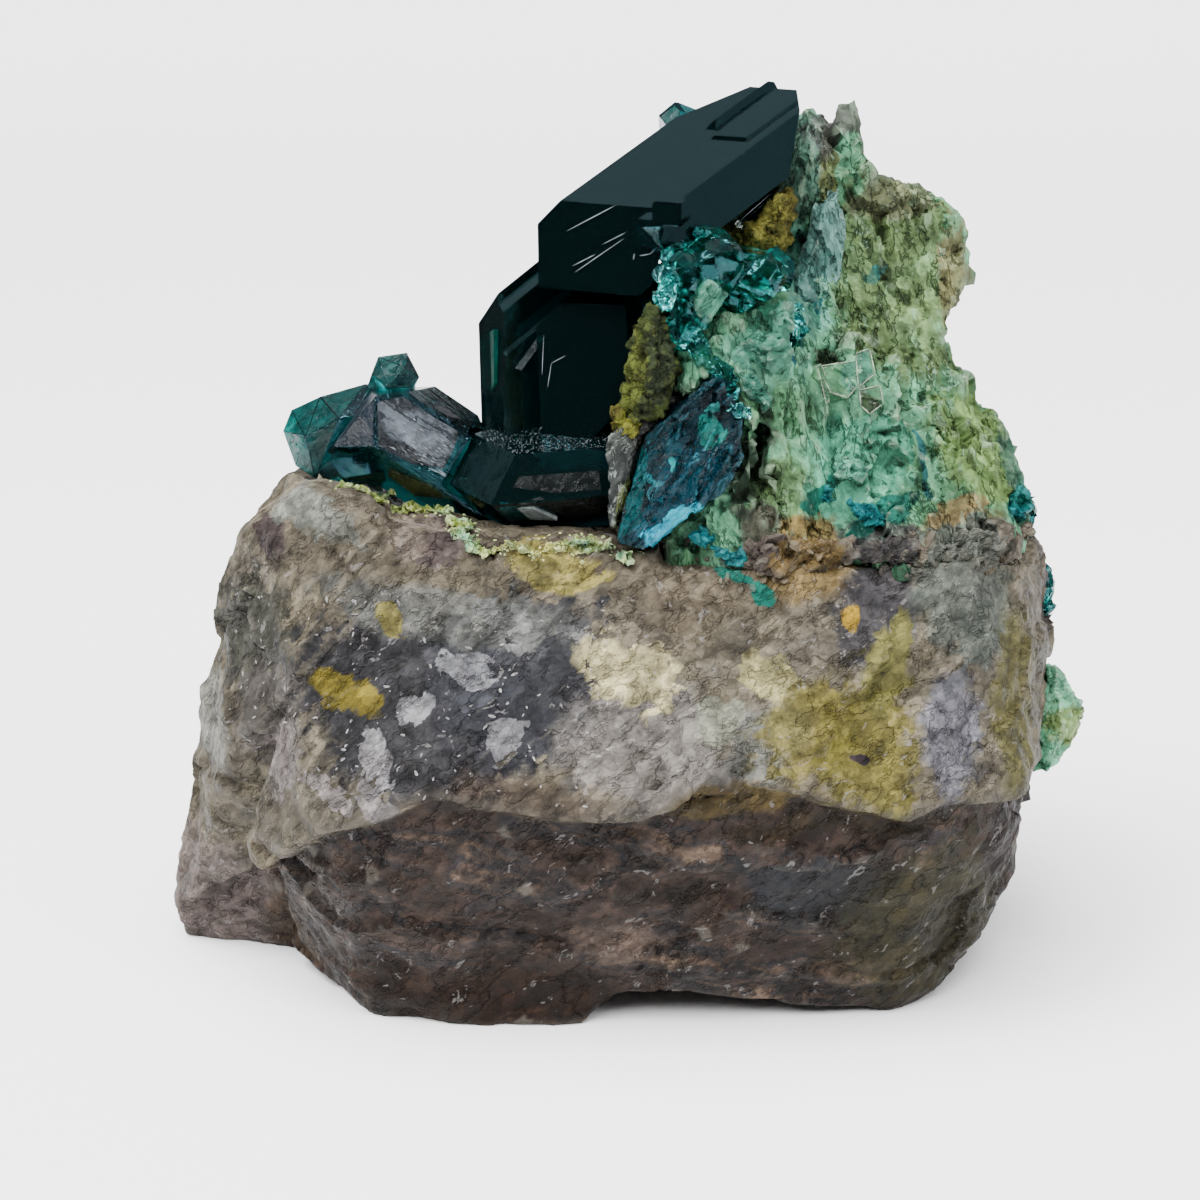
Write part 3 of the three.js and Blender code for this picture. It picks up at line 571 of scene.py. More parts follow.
def make_stone(name, tones, stains, worn, crack, fleck, turn=0.0, stretch=1.0, line=0.25, flecks=0.35,
               undercut=None, late_stains=(), rough=(0.4, 0.7), relief=1.0, shade=0.5, mottle=0.5, veins=0.5,
               gloss=0.12):
    """A stone of crisp grains with stains, pale worn edges, bright flecks and dark cracks.

    tones are the two colours of the bare stone, and shade darkens everything. turn and stretch give the way
    that the grain runs. undercut is a second set of colours, for the rock below the break edge, whose
    darkness is partly painted shade, and late_stains lie over it. crack also colours the painted shade in
    hollows, and the bright flecks are partly painted glints. line, flecks, veins and mottle say how strong
    each of those marks is.
    """
    material, tree, skin = new_material(name)
    place = vector(tree, "SCALE", add(tree, "ShaderNodeTexCoord").outputs["Object"], scale=1 / MM)
    wide, wide_colour = noise(tree, place, SLOW, 3.0, 0.6)
    fine = noise(tree, place, MOTTLE, 5.0, 0.65)[0]
    fine_colour = noise(tree, place, MOTTLE, 3.0, 0.65)[1]
    bent = drifted(tree, place, wide_colour, STAIN_BEND)
    jagged = cells(tree, flow(tree, drifted(tree, place, fine_colour, BITE_BEND), turn, stretch), BITE)
    ragged = times_plus(tree, wide, 0.3, times_plus(tree, fine, 0.45, times_plus(tree, jagged, 0.25, -0.5)))
    tone = blend(tree, ease(tree, wide, 0.4, 0.6), colour(tones[0]), colour(tones[1]))
    tone = with_stains(tree, tone, bent, ragged, stains)
    if undercut:
        spot = add(tree, "ShaderNodeSeparateXYZ", {0: place}).outputs
        drop = calc(tree, "SUBTRACT", profile(tree, spot[0], BREAK_EDGE), spot[2])
        # the border between the two is crisp at the front and gets more and more torn towards the back
        drop = times_plus(tree, ragged, ease(tree, spot[1], -8.0, 2.0, (1.0, 10.0)), drop)
        swirl = noise(tree, flow(tree, bent, DOWN_RIGHT, 0.3), 2.4, 5.0, 0.6)[0]
        # below the break edge the undercut colours take over; their darkness is partly painted shade
        tone = blend(tree, ease(tree, drop, -0.1, 0.4), tone, ramp(tree, swirl, undercut))
    tone = with_stains(tree, tone, bent, ragged, late_stains)

    # grains: each has its own brightness and a dark border
    grain = flow(tree, drifted(tree, place, fine_colour, GRAIN_BEND_FINE), turn, stretch)
    small = cells(tree, grain, GRAIN)
    bright = ease(tree, fine, 0.28, 0.72, (1.0 - mottle, 1.0 + mottle))
    bright = calc(tree, "MULTIPLY", bright, ease(tree, cells(tree, grain, BLOCK), 0.0, 1.0, (0.75, 1.25)))
    bright = calc(tree, "MULTIPLY", bright, ease(tree, small, 0.0, 1.0, (0.8, 1.2)))
    border = ease(tree, cells(tree, grain, GRAIN, "DISTANCE_TO_EDGE"), 0.0, 0.1, (1.0 - line, 1.0))
    tone = tinted(tree, tone, calc(tree, "MULTIPLY", bright, border))

    # flecks, which are partly painted glints, cracks, worn edges and painted shade in the hollows
    torn = noise(tree, flow(tree, bent, turn, stretch), FLECK, 4.0, 0.7)[0]
    tone = blend(tree, ease(tree, torn, 0.62, 0.66, (0.0, flecks)), tone, colour(fleck))
    rift = calc(tree, "SUBTRACT", noise(tree, grain, RIFT, 4.0, 0.65)[0], RIFT_LEVEL)
    rift = calc(tree, "ABSOLUTE", rift)
    tone = blend(tree, ease(tree, rift, 0.022, 0.004, (0.0, veins)), tone, colour(crack))
    edges = add(tree, "ShaderNodeNewGeometry").outputs["Pointiness"]
    tone = blend(tree, ease(tree, edges, *EDGE_WORN, (0.0, 0.4)), tone, colour(worn))
    # painted shade in the hollows
    tone = blend(tree, ease(tree, edges, *PAINTED_HOLLOW_SHADE, (0.0, 0.8)), tone, colour(crack))
    tone = blend(tree, 1.0, tone, (shade, shade, shade, 1.0), "MULTIPLY")
    tree.links.new(tone, skin.inputs["Base Color"])
    skin.inputs["Specular IOR Level"].default_value = gloss
    tree.links.new(ease(tree, fine, 0.3, 0.7, rough), skin.inputs["Roughness"])

    # relief: small tipped facets, mottle and the cracks
    facets = calc(tree, "ADD", calc(tree, "MULTIPLY", chips(tree, grain, 0.9, 5.0), 0.3),
                  calc(tree, "MULTIPLY", chips(tree, grain, 0.35, 9.0), 0.08))
    height = calc(tree, "ADD", facets, calc(tree, "MULTIPLY", fine, 0.22))
    height = calc(tree, "ADD", height, ease(tree, rift, 0.0, 0.03, (-0.12, 0.0)))
    bump = add(tree, "ShaderNodeBump", {"Height": height, "Strength": 0.9, "Distance": relief * MM})
    tree.links.new(bump.outputs[0], skin.inputs["Normal"])
    return material


# %% [markdown]
# ## Staining the quartz
#
# The front runs from a frosted corner at the left through slate to ochre yellow at the right, with pale
# flakes on the slate. The undercut below the break edge is dark brown, made darker still as painted shade,
# since it faces down. Stains that lie over both, such as the brown foot, come last.

# %% The quartz
QUARTZ_STAINS = [
    # name, colour, middle, half sizes, turn, softness, tornness, strength
    ("top band", "585144", (-6.0, -9.5, 23.6), (16.0, 5.0, 2.6), 3, 0.6, 1.0, 0.8),
    ("plum pocket left", "3a3032", (-18.4, -6.8, 24.2), (1.3, 3.0, 1.2), 30, 0.3, 1.3, 0.85),
    ("plum pocket middle", "43383a", (-9.6, -9.8, 24.3), (1.5, 3.0, 0.9), 0, 0.3, 1.4, 0.8),
    ("frosted corner", "777a72", (-16.0, -8.0, 25.3), (2.6, 4.0, 0.8), 8, 0.4, 1.4, 0.85),
    ("rosy lump", "75695f", (-11.2, -9.3, 24.4), (1.2, 3.0, 0.8), 0, 0.3, 1.2, 0.85),
    ("pale mound", "7c7a6c", (-4.6, -11.0, 23.0), (1.4, 3.0, 0.6), 10, 0.3, 1.4, 0.7),
    ("left edge", "3c3d37", (-19.6, -8.5, 19.0), (2.8, 6.0, 3.2), 20, 0.3, 1.3, 0.9),
    ("left side", "4f4a47", (-18.5, -11.5, 15.0), (2.6, 5.0, 3.6), -30, 0.5, 1.2, 0.8),
    ("slate left", "2f2f33", (-11.0, -14.5, 17.2), (6.6, 6.0, 4.4), 20, 0.4, 1.3, 0.95),
    ("slate middle", "323338", (-5.6, -14.0, 18.2), (4.6, 6.0, 4.0), -25, 0.4, 1.3, 0.95),
    ("grey brow", "5b5c58", (-9.5, -12.5, 21.2), (6.5, 5.0, 1.3), 8, 0.5, 1.4, 0.8),
    ("slate right", "3a393d", (11.9, -11.0, 21.0), (2.3, 5.0, 3.6), 10, 0.4, 1.3, 0.9),
    ("green grey", "555c56", (16.9, -10.1, 21.4), (3.0, 5.0, 2.9), 0, 0.4, 1.2, 0.85),
    ("ochre top", "74613c", (8.4, -10.0, 23.0), (2.6, 4.0, 1.6), -20, 0.4, 1.3, 0.85),
    ("brown block", "6a6050", (2.6, -11.2, 22.0), (2.8, 4.0, 1.5), 0, 0.4, 1.2, 0.7),
    ("lilac grey", "6e6965", (0.4, -16.0, 15.3), (4.2, 5.0, 3.0), 15, 0.4, 1.2, 0.85),
    ("cream patch", "b4aa80", (-0.3, -13.4, 18.6), (2.4, 4.0, 1.5), 20, 0.2, 1.7, 0.92),
    ("cream streak", "948d62", (6.7, -14.2, 17.8), (2.3, 4.0, 1.0), 40, 0.2, 1.5, 0.85),
    ("grey grain", "6d6e68", (6.2, -15.6, 15.4), (2.2, 4.0, 1.6), -15, 0.3, 1.4, 0.8),
    ("pale pad", "7d7f70", (3.9, -15.0, 16.4), (1.2, 3.0, 0.9), 0, 0.15, 1.0, 0.8),
    ("yellow left", "6d6428", (8.2, -15.0, 15.9), (2.6, 4.0, 2.0), -30, 0.6, 1.9, 0.75),
    ("yellow right", "6b642a", (11.2, -15.0, 15.2), (2.4, 5.0, 3.4), 0, 0.5, 1.8, 0.82),
    ("yellow upper", "6a6736", (12.4, -13.4, 18.4), (1.2, 4.0, 2.6), 12, 0.3, 1.4, 0.85),
    ("violet spot", "2a2030", (10.5, -15.4, 14.7), (0.4, 2.0, 0.35), 0, 0.2, 0.8, 0.9),
    ("blue grey", "686872", (15.5, -13.9, 15.4), (1.4, 4.0, 2.9), 4, 0.5, 1.5, 0.85),
    ("olive right", "5e5a34", (19.1, -10.9, 16.3), (1.7, 5.0, 4.6), 6, 0.4, 1.2, 0.85),
    ("mustard", "776a22", (-14.3, -13.6, 17.4), (2.1, 3.0, 0.9), 5, 0.3, 1.7, 0.85),
    ("yellow dot", "7e7430", (-12.3, -12.6, 20.9), (0.9, 3.0, 0.45), 50, 0.4, 2.2, 0.7),
    ("yellow rim", "8a8040", (-4.2, -11.0, 23.2), (2.4, 3.0, 0.9), 12, 0.3, 1.5, 0.8),
    ("orange dot", "a08020", (10.4, -11.7, 20.9), (0.45, 2.0, 0.45), 30, 0.4, 2.2, 0.85),
    ("teal run", "0c6a5c", (4.6, -10.9, 22.9), (1.7, 3.0, 0.35), 28, 0.15, 1.6, 0.95),
    ("teal run end", "0e7464", (6.1, -11.1, 22.0), (0.6, 3.0, 0.5), 40, 0.15, 1.5, 0.95),
    ("pale flake 1", "8f8c8e", (-12.9, -15.0, 15.1), (0.8, 3.0, 1.3), -12, 0.1, 2.1, 0.78),
    ("pale flake 2", "8a8a8c", (-10.8, -14.9, 17.0), (0.9, 3.0, 0.7), 45, 0.1, 2.1, 0.73),
    ("pale flake 3", "86868a", (-8.3, -13.8, 18.7), (1.2, 3.0, 0.7), 10, 0.1, 2.1, 0.73),
    ("pale flake 4", "80827f", (-6.3, -12.8, 20.6), (2.2, 3.0, 0.8), 42, 0.1, 2.1, 0.58),
    ("pale flake 5", "8a888c", (-6.7, -15.6, 15.5), (0.8, 3.0, 0.8), 40, 0.1, 2.1, 0.73),
    ("pale flake 6", "8f8686", (-15.3, -15.0, 13.0), (1.1, 3.0, 0.6), 30, 0.1, 2.1, 0.78),
    ("pale flake 7", "857b79", (-17.6, -12.4, 13.6), (1.6, 4.0, 1.9), -40, 0.1, 2.1, 0.73),
    ("pale flake 8", "857f80", (-12.4, -16.0, 12.9), (1.9, 3.0, 0.7), 35, 0.1, 2.1, 0.63),
    ("side plum", "3d3436", (20.0, -1.0, 19.5), (4.0, 3.4, 2.8), 0, 0.6, 2.2, 0.8),
    ("side grey", "62645e", (19.0, 7.0, 18.0), (5.0, 3.2, 3.4), 0, 0.6, 2.2, 0.8),
    ("side ochre", "6b5a30", (20.5, 2.6, 14.6), (4.0, 2.6, 2.2), 0, 0.5, 2.2, 0.8),
    ("back slate", "34353a", (-6.0, 13.0, 16.5), (5.0, 5.0, 3.8), 20, 0.6, 2.2, 0.85),
    ("back cream", "8c8670", (6.5, 13.0, 18.5), (4.0, 5.0, 2.2), -15, 0.5, 2.2, 0.8),
    ("back ochre", "6a5a30", (12.5, 11.0, 14.0), (3.2, 5.0, 2.2), 0, 0.5, 2.2, 0.8),
    ("back plum", "443a3c", (-15.0, 9.0, 18.0), (4.0, 5.0, 3.0), 0, 0.6, 2.2, 0.8),
    ("top green", "4f5e4c", (-6.0, 6.0, 24.4), (8.0, 4.0, 2.0), 0, 0.8, 2.0, 0.7),
    ("far left ochre", "665a34", (-21.5, 1.0, 16.5), (4.0, 3.4, 2.6), 0, 0.6, 2.2, 0.75),
    ("clear splinter", "7a7a72", (-22.3, -5.0, 13.8), (1.3, 5.0, 2.4), 0, 0.3, 1.0, 0.85),
]
# the undercut's own brown, made darker as painted shade, since this face looks down
UNDERCUT_WITH_SHADE = [
    # where on the scale of its swirls, colour
    (0.3, "1a1512"), (0.42, "2c221d"), (0.5, "3c302a"), (0.56, "262426"), (0.63, "4a3d34"), (0.7, "6a594b"),
]
QUARTZ_LATE_STAINS = [
    ("smoky lip", "41352f", (-6.0, -16.6, 13.2), (4.6, 4.0, 1.0), 0, 0.8, 0.8, 0.7),
    ("olive lip", "4c4024", (4.2, -16.4, 13.0), (3.6, 4.0, 0.9), 0, 0.4, 0.8, 0.85),
    ("undercut slate", "24262a", (8.8, -15.3, 8.0), (4.4, 5.0, 1.9), 12, 0.4, 1.2, 0.85),
    ("undercut olive", "2f2c1b", (14.5, -12.0, 5.6), (5.0, 6.0, 5.2), 0, 0.5, 1.2, 0.85),
    ("maroon block", "241818", (18.8, -10.5, 8.8), (1.5, 5.0, 2.8), -15, 0.3, 0.9, 0.85),
    ("lip shadow right", "2c2418", (10.0, -14.8, 11.6), (5.5, 4.0, 0.7), -4, 0.6, 1.0, 0.7),
    ("pink ridge", "6a5a50", (-0.6, -14.9, 5.0), (2.8, 3.0, 1.0), 8, 0.6, 2.0, 0.55),
    ("brown foot", "24170f", (-8.2, -13.0, 1.8), (7.0, 6.0, 1.7), 0, 0.5, 1.1, 0.85),
    ("foot left", "6a5e5a", (-22.5, -2.5, 3.4), (4.0, 5.0, 4.5), 0, 0.5, 1.1, 0.8),
    ("foot brown", "3a2c1e", (-17.6, -4.0, 2.2), (2.4, 5.0, 2.6), 0, 0.5, 1.1, 0.8),
]
quartz_finish = make_stone(
    "broken_quartz", ("5b554a", "6d6555"), QUARTZ_STAINS, "7c766c", "15120f", "a8a4a2",
    turn=UP_RIGHT, stretch=0.45, undercut=UNDERCUT_WITH_SHADE, late_stains=QUARTZ_LATE_STAINS, veins=0.18, shade=0.56)
finish(quartz, quartz_finish, "quartz", "quartz_matrix")
quartz.data.shade_smooth()

# %% [markdown]
# ## Staining the crust wall
#
# The wall is mint green where it is fresh, olive and lime where it has weathered, and teal where a little
# dioptase has run into it. Its foot takes the colours of the quartz, so that the one grows out of the other.

# %% The green crust
CRUST_STAINS = [
    ("olive wall", "687a4a", (13.6, -1.0, 36.4), (3.6, 6.0, 6.0), 0, 0.5, 1.4, 0.8),
    ("tan edge", "7c7450", (16.8, 0.5, 36.0), (0.9, 6.0, 3.6), 0, 0.4, 1.2, 0.8),
    ("tan top", "6f6d54", (13.6, 0.5, 40.6), (3.0, 5.0, 1.2), -20, 0.4, 1.3, 0.7),
    ("pale plates", "5a9484", (8.6, -2.6, 36.4), (1.3, 5.0, 3.6), -8, 0.3, 1.3, 0.85),
    ("mint peak", "486259", (8.6, 0.0, 42.4), (1.6, 5.0, 3.0), 0, 0.5, 1.3, 0.8),
    ("olive peak", "5d5f36", (10.2, 0.6, 41.6), (0.5, 4.0, 2.4), 0, 0.3, 1.2, 0.85),
    ("grey spire", "5f5c58", (11.0, 1.4, 45.0), (1.1, 4.0, 1.6), 0, 0.4, 1.2, 0.9),
    ("grey root", "4b4a4a", (10.0, 0.6, 43.6), (1.0, 4.0, 1.2), 30, 0.4, 1.4, 0.8),
    ("mint front", "5e9c80", (6.4, -6.8, 33.4), (2.4, 4.0, 2.2), -30, 0.3, 1.3, 0.85),
    ("mint foot", "4f9a7c", (11.0, -7.2, 27.4), (3.2, 5.0, 2.6), -25, 0.3, 1.4, 0.9),
    ("olive middle", "5a7040", (7.0, -8.6, 26.2), (2.0, 4.0, 2.6), 10, 0.4, 1.4, 0.8),
    ("lime right", "728e4e", (17.6, -4.0, 27.8), (2.2, 5.0, 3.4), -25, 0.4, 1.3, 0.85),
    ("back olive", "5f7444", (12.0, 8.0, 32.0), (5.0, 4.0, 4.4), 0, 0.5, 2.2, 0.8),
    ("back grey", "5e6a62", (16.0, 6.0, 27.0), (4.0, 4.0, 2.6), 0, 0.5, 2.2, 0.8),
    ("back teal", "2f6a66", (8.0, 7.0, 27.0), (3.0, 4.0, 2.0), 20, 0.4, 2.2, 0.8),
    ("teal edge", "2f5349", (20.4, -3.2, 26.0), (1.3, 5.0, 3.4), -15, 0.3, 1.3, 0.85),
    ("brown foot", "5d4f34", (15.6, -8.2, 24.4), (3.6, 4.0, 0.8), -8, 0.4, 1.4, 0.8),
    ("plum foot", "453c3a", (6.4, -10.0, 24.9), (1.2, 3.0, 1.3), 0, 0.3, 1.4, 0.85),
    ("ochre foot", "77623a", (8.4, -9.6, 24.5), (2.0, 3.0, 1.1), -15, 0.3, 1.5, 0.9),
    ("slate foot", "403e40", (12.2, -9.2, 24.1), (2.4, 3.0, 1.1), 8, 0.3, 1.5, 0.9),
    ("grey foot", "5a5f58", (16.6, -8.4, 23.9), (2.8, 3.0, 1.1), 0, 0.3, 1.5, 0.9),
    ("tan foot", "80704a", (16.4, -8.0, 25.3), (1.8, 3.0, 0.7), -10, 0.3, 1.5, 0.85),
    # painted shade in the cleft between the blade and the wall
    ("painted shade in cleft", "17211a", (5.6, -8.8, 27.8), (0.9, 3.0, 3.0), 12, 0.4, 1.3, 0.9),
    ("dark crack", "27331f", (12.8, -1.4, 36.6), (0.35, 3.0, 2.6), -35, 0.3, 1.6, 0.8),
    ("dark pit", "2b2f20", (9.9, -4.7, 32.4), (0.8, 2.0, 0.8), 0, 0.3, 1.3, 0.85),
    ("teal lens", "0c4552", (8.1, -6.0, 33.9), (0.34, 2.0, 1.5), 0, 0.15, 0.7, 0.95),
    ("teal fleck 1", "0f4f50", (9.4, -3.0, 34.9), (0.35, 2.0, 0.5), 30, 0.15, 0.8, 0.9),
    ("teal fleck 2", "1c5654", (12.4, -1.7, 36.2), (0.7, 2.0, 0.3), -45, 0.15, 1.6, 0.7),
    ("teal wedge", "0a5648", (9.2, -8.1, 26.4), (1.0, 3.0, 0.5), -35, 0.15, 1.2, 0.95),
    ("teal foot", "0c5248", (12.2, -8.2, 25.1), (2.0, 3.0, 0.6), -28, 0.15, 1.4, 0.9),
    ("teal right", "0a5a52", (19.8, -4.7, 25.0), (0.9, 3.0, 0.9), -40, 0.15, 1.2, 0.92),
    ("teal streak", "1c5058", (14.5, -6.8, 27.4), (0.25, 3.0, 1.8), -6, 0.15, 1.3, 0.85),
]
crust_finish = make_stone(
    "green_crust", ("4e7c58", "64a27e"), CRUST_STAINS, "b0cbac", "10190f", "a0d2b4",
    turn=UPRIGHT, stretch=0.3, line=0.15, rough=(0.55, 0.85), shade=0.57, veins=0.65)
coarsen(crust, 0.55)
finish(crust, crust_finish, "crust", "green_crust_ridge")


# %% [markdown]
# ## The crystals
#
# A dioptase crystal is clear, but so strongly coloured that only its thin edges let light through. Its
# finish is plain glass with a volume that absorbs red first, then blue and green. The faces stay flat:
# their edges only get a bevel of a few hundredths of a millimetre, which catches the light.


# %% Dioptase glass
DIOPTASE_IOR = 1.65


def make_dioptase(name, tint, density, roughness, sheen, turn=0.0, stretch=1.0, relief=0.05, size=0.8,
                  body=(1.0, 1.0, 1.0, 1.0), clear=1.0):
    """Clear glass that swallows light inside.

    tint is what a ray keeps of red, green and blue, and density says how soon. relief and size are those of
    the growth marks on its faces.
    """
    material, tree, skin = new_material(name)
    skin.inputs["Base Color"].default_value = body
    skin.inputs["Transmission Weight"].default_value = clear
    skin.inputs["IOR"].default_value = DIOPTASE_IOR
    skin.inputs["Roughness"].default_value = roughness
    skin.inputs["Specular Tint"].default_value = colour(sheen)
    place = vector(tree, "SCALE", add(tree, "ShaderNodeTexCoord").outputs["Object"], scale=1 / MM)
    marks = noise(tree, flow(tree, place, turn, stretch), size, 5.0, 0.6)[0]
    bump = add(tree, "ShaderNodeBump", {"Height": marks, "Strength": 0.8, "Distance": relief * MM})
    tree.links.new(bump.outputs[0], skin.inputs["Normal"])
    absorb = add(tree, "ShaderNodeVolumeAbsorption", {"Color": tint, "Density": density})
    output = next(n for n in tree.nodes if n.type == "OUTPUT_MATERIAL")
    tree.links.new(absorb.outputs[0], output.inputs["Volume"])
    return material


deep_green = make_dioptase("dioptase_deep", (0.0, 0.74, 0.75, 1.0), 4400.0, 0.03, "9cdcea", relief=0.03,
                           body=(0.1, 0.45, 0.45, 1.0), clear=0.995)
striated_green = make_dioptase("dioptase_striated", (0.0, 0.76, 0.76, 1.0), 3300.0, 0.05, "7fb4cc",
                               turn=math.radians(-33), stretch=0.12, relief=0.12, size=0.45)
knob_green = make_dioptase("dioptase_knobbly", (0.0, 0.78, 0.76, 1.0), 2000.0, 0.05, "6fccd6", relief=0.04)


# %% The large crystals
BEVEL = 0.06                     # width of the bright edge between two faces
SAME_FACE = math.radians(0.5)    # triangles that turn less than this belong to one face
CREASE = math.radians(12)        # an edge that turns more than this is bevelled


def bevelled(node, name):
    """A copy of a crystal solid with its flat faces made whole and its edges bevelled."""
    piece = plain_copy(node, name)
    shape = bmesh.new()
    shape.from_mesh(piece.data)
    bmesh.ops.dissolve_limit(shape, angle_limit=SAME_FACE, verts=shape.verts, edges=shape.edges)
    shape.to_mesh(piece.data)
    shape.free()
    bevel = piece.modifiers.new("edges", "BEVEL")
    bevel.width = BEVEL
    bevel.segments = 2
    bevel.limit_method = "ANGLE"
    bevel.angle_limit = CREASE
    return settle(piece)


MAIN = "dioptase_main_cluster"
LEFT = "dioptase_left_cluster"
RIDGE = "green_crust_ridge"
main = finish(bevelled(MAIN, "main_crystals"), deep_green, "dioptase", MAIN)
finish(bevelled(LEFT, "left_crystals"), striated_green, "dioptase", LEFT)

# %% [markdown]
# ## Knobs, blade and edge crystals
#
# Where dioptase grew in a crowd it is all knobs and splinters. These lumps are remeshed and broken like the
# rock, and then joined back into few, large facets, which is what makes them glitter. The blade beside them
# is so full of fibres that no light gets through, so it has a stone finish with streaks and a painted blue
# sheen.

# %% The knobs
knobs = remesh(plain_copy("dioptase_knob_cluster", "knob_crystals"), 0.13, 5)
shape_with(knobs, broken_skin, chip_size=2.0, chip_depth=0.6, flake_size=0.7, flake_depth=0.05, stretch=0.8,
           turn=-0.6)
coarsen(knobs, 0.12)
finish(knobs, knob_green, "dioptase", "dioptase_knob_cluster")

# %% The blade
BLADE_STREAK = math.radians(62)
BLADE_STAINS = [
    # the two dark blue stains are painted sheen, the blue-grey that the striated face mirrors
    ("painted blue sheen", "0a3644", (2.4, -10.3, 26.8), (1.6, 3.0, 2.6), 24, 0.5, 1.1, 0.85),
    ("painted low sheen", "0c3c4a", (0.8, -10.8, 25.4), (1.6, 3.0, 1.0), -30, 0.4, 1.2, 0.8),
    ("teal edge", "08565a", (-0.2, -10.4, 26.6), (0.35, 3.0, 2.4), 14, 0.2, 1.3, 0.9),
    ("teal top", "0c6a62", (3.3, -9.9, 30.2), (0.5, 3.0, 0.7), -30, 0.15, 1.6, 0.9),
    ("cyan foot", "20bcd8", (2.5, -10.8, 25.7), (1.4, 3.0, 0.8), -38, 0.15, 1.5, 0.95),
    ("cyan patch", "22accc", (1.2, -10.8, 24.8), (1.2, 3.0, 0.5), -20, 0.15, 1.5, 0.9),
    ("cyan spot 1", "1f9a9a", (1.9, -10.2, 28.4), (0.25, 2.0, 0.3), 0, 0.15, 1.6, 0.9),
    ("cyan spot 2", "1a8a94", (0.7, -10.4, 27.6), (0.3, 2.0, 0.2), 30, 0.15, 1.6, 0.9),
]
blade_finish = make_stone(
    "blue_blade", ("041a22", "0a3038"), BLADE_STAINS, "2c7484", "02090d", "4aa0b0", turn=BLADE_STREAK,
    stretch=0.16, line=0.2, rough=(0.15, 0.45), relief=0.8, shade=0.5, flecks=0.4, gloss=0.2)
blade = remesh(plain_copy("dioptase_blade", "blade"), 0.12, 3)
shape_with(blade, broken_skin, chip_size=0.8, chip_depth=0.28, flake_size=0.45, flake_depth=0.12, stretch=0.2,
           turn=BLADE_STREAK)
finish(blade, blade_finish, "dioptase", "dioptase_blade")

# %% The edge crystals
edge = remesh(plain_copy("dioptase_edge_crystals", "edge_crystals"), 0.14, 3)
shape_with(edge, broken_skin, chip_size=1.2, chip_depth=0.4, flake_size=0.5, flake_depth=0.1)
coarsen(edge, 0.3)
finish(edge, knob_green, "dioptase", "dioptase_edge_crystals")

# %% [markdown]
# ## Growth ribs
#
# A dioptase face is crossed by fine straight growth steps. Each one is drawn as a line that is laid on the
# nearest crystal face, and a Geometry Nodes tree gives every line a slim four-sided body that runs out to
# a point at both ends.


# %% The rib tree
def make_rib_tree():
    """Lines become slim bodies: thickest in the middle, and a needle's width at the ends."""
    tree, given = new_tree("growth_ribs", {"Half width": 0.05})
    line = add(tree, "GeometryNodeMeshToCurve", {"Mesh": given["Geometry"]})
    fine = add(tree, "GeometryNodeResampleCurve", {"Curve": line.outputs[0], "Count": 7})
    along = add(tree, "GeometryNodeSplineParameter").outputs["Factor"]
    swell = calc(tree, "SQRT", calc(tree, "SINE", calc(tree, "MULTIPLY", along, math.pi)))
    radius = calc(tree, "ADD", calc(tree, "MULTIPLY", swell, given["Half width"]), 0.004)
    section = add(tree, "GeometryNodeCurvePrimitiveCircle", {"Resolution": 4, "Radius": 1.0})
    body = add(tree, "GeometryNodeCurveToMesh", {
        "Curve": fine.outputs[0], "Profile Curve": section.outputs[0], "Scale": radius, "Fill Caps": True})
    real = add(tree, "GeometryNodeRealizeInstances", {0: body.outputs[0]})
    coated = add(tree, "GeometryNodeSetMaterial", {"Geometry": real.outputs[0], "Material": deep_green})
    add(tree, "NodeGroupOutput", {0: coated.outputs[0]})
    return tree


rib_tree = make_rib_tree()
print("tree:", rib_tree.name, "with", len(rib_tree.nodes), "nodes")


# %% Laying lines on faces
def surface_of(mesh):
    """A mesh's faces, in millimetres, for finding the nearest point on them."""
    corners = [v.co / MM for v in mesh.vertices]
    return BVHTree.FromPolygons(corners, [p.vertices[:] for p in mesh.polygons])


def laid_on(solid, lines):
    """The lines with each end moved to the nearest point of a CAD solid."""
    surface = surface_of(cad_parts[solid].data)
    return [tuple(surface.find_nearest(Vector(end))[0] for end in line) for line in lines]


def make_ribs(name, lines, half_width, material, slot="dioptase"):
    """One piece from many lines, each given by its two ends."""
    points = [end for line in lines for end in line]
    mesh = bpy.data.meshes.new(name)
    mesh.from_pydata(points, [(i, i + 1) for i in range(0, len(points), 2)], [])
    piece = new_object(name, mesh)
    shape_with(piece, rib_tree, half_width=half_width)
    return finish(piece, material, slot)


# %% Streaks with painted glints
# The left crystal's front face is crossed by short streaks that run down to the right; their pale grey is
# painted glint.
painted_sheen_grey = make_stone("silver_streaks", ("6f7a86", "8e99a6"), [], "c8d0d8", "2a3036", "d8dee4", shade=0.5,
                    relief=0.3, rough=(0.15, 0.4), gloss=0.6)
rng = np.random.default_rng(11)
FACE_CORNER = Vector((-11.9, -7.0, 30.5))
ALONG_FACE, DOWN_FACE = Vector((2.3, 0.0, -1.45)), Vector((-0.3, 0.0, -2.1))


def face_streaks(count, longest):
    """Short lines strewn over that face, a few more of them towards its foot."""
    lines = []
    for _ in range(count):
        along, down = rng.uniform(0.05, 1.0), rng.uniform(0.0, 1.0) ** 0.8
        length = rng.uniform(0.3, 1.0) * longest
        start = FACE_CORNER + along * ALONG_FACE + down * DOWN_FACE
        lines.append((start, start + length * Vector((0.85, 0.0, -0.53 + rng.uniform(-0.1, 0.1)))))
    return lines


make_ribs("fine_streaks", laid_on(LEFT, face_streaks(90, 0.7)), 0.013, painted_sheen_grey)
make_ribs("broad_streaks", laid_on(LEFT, face_streaks(26, 0.4)), 0.03, painted_sheen_grey)

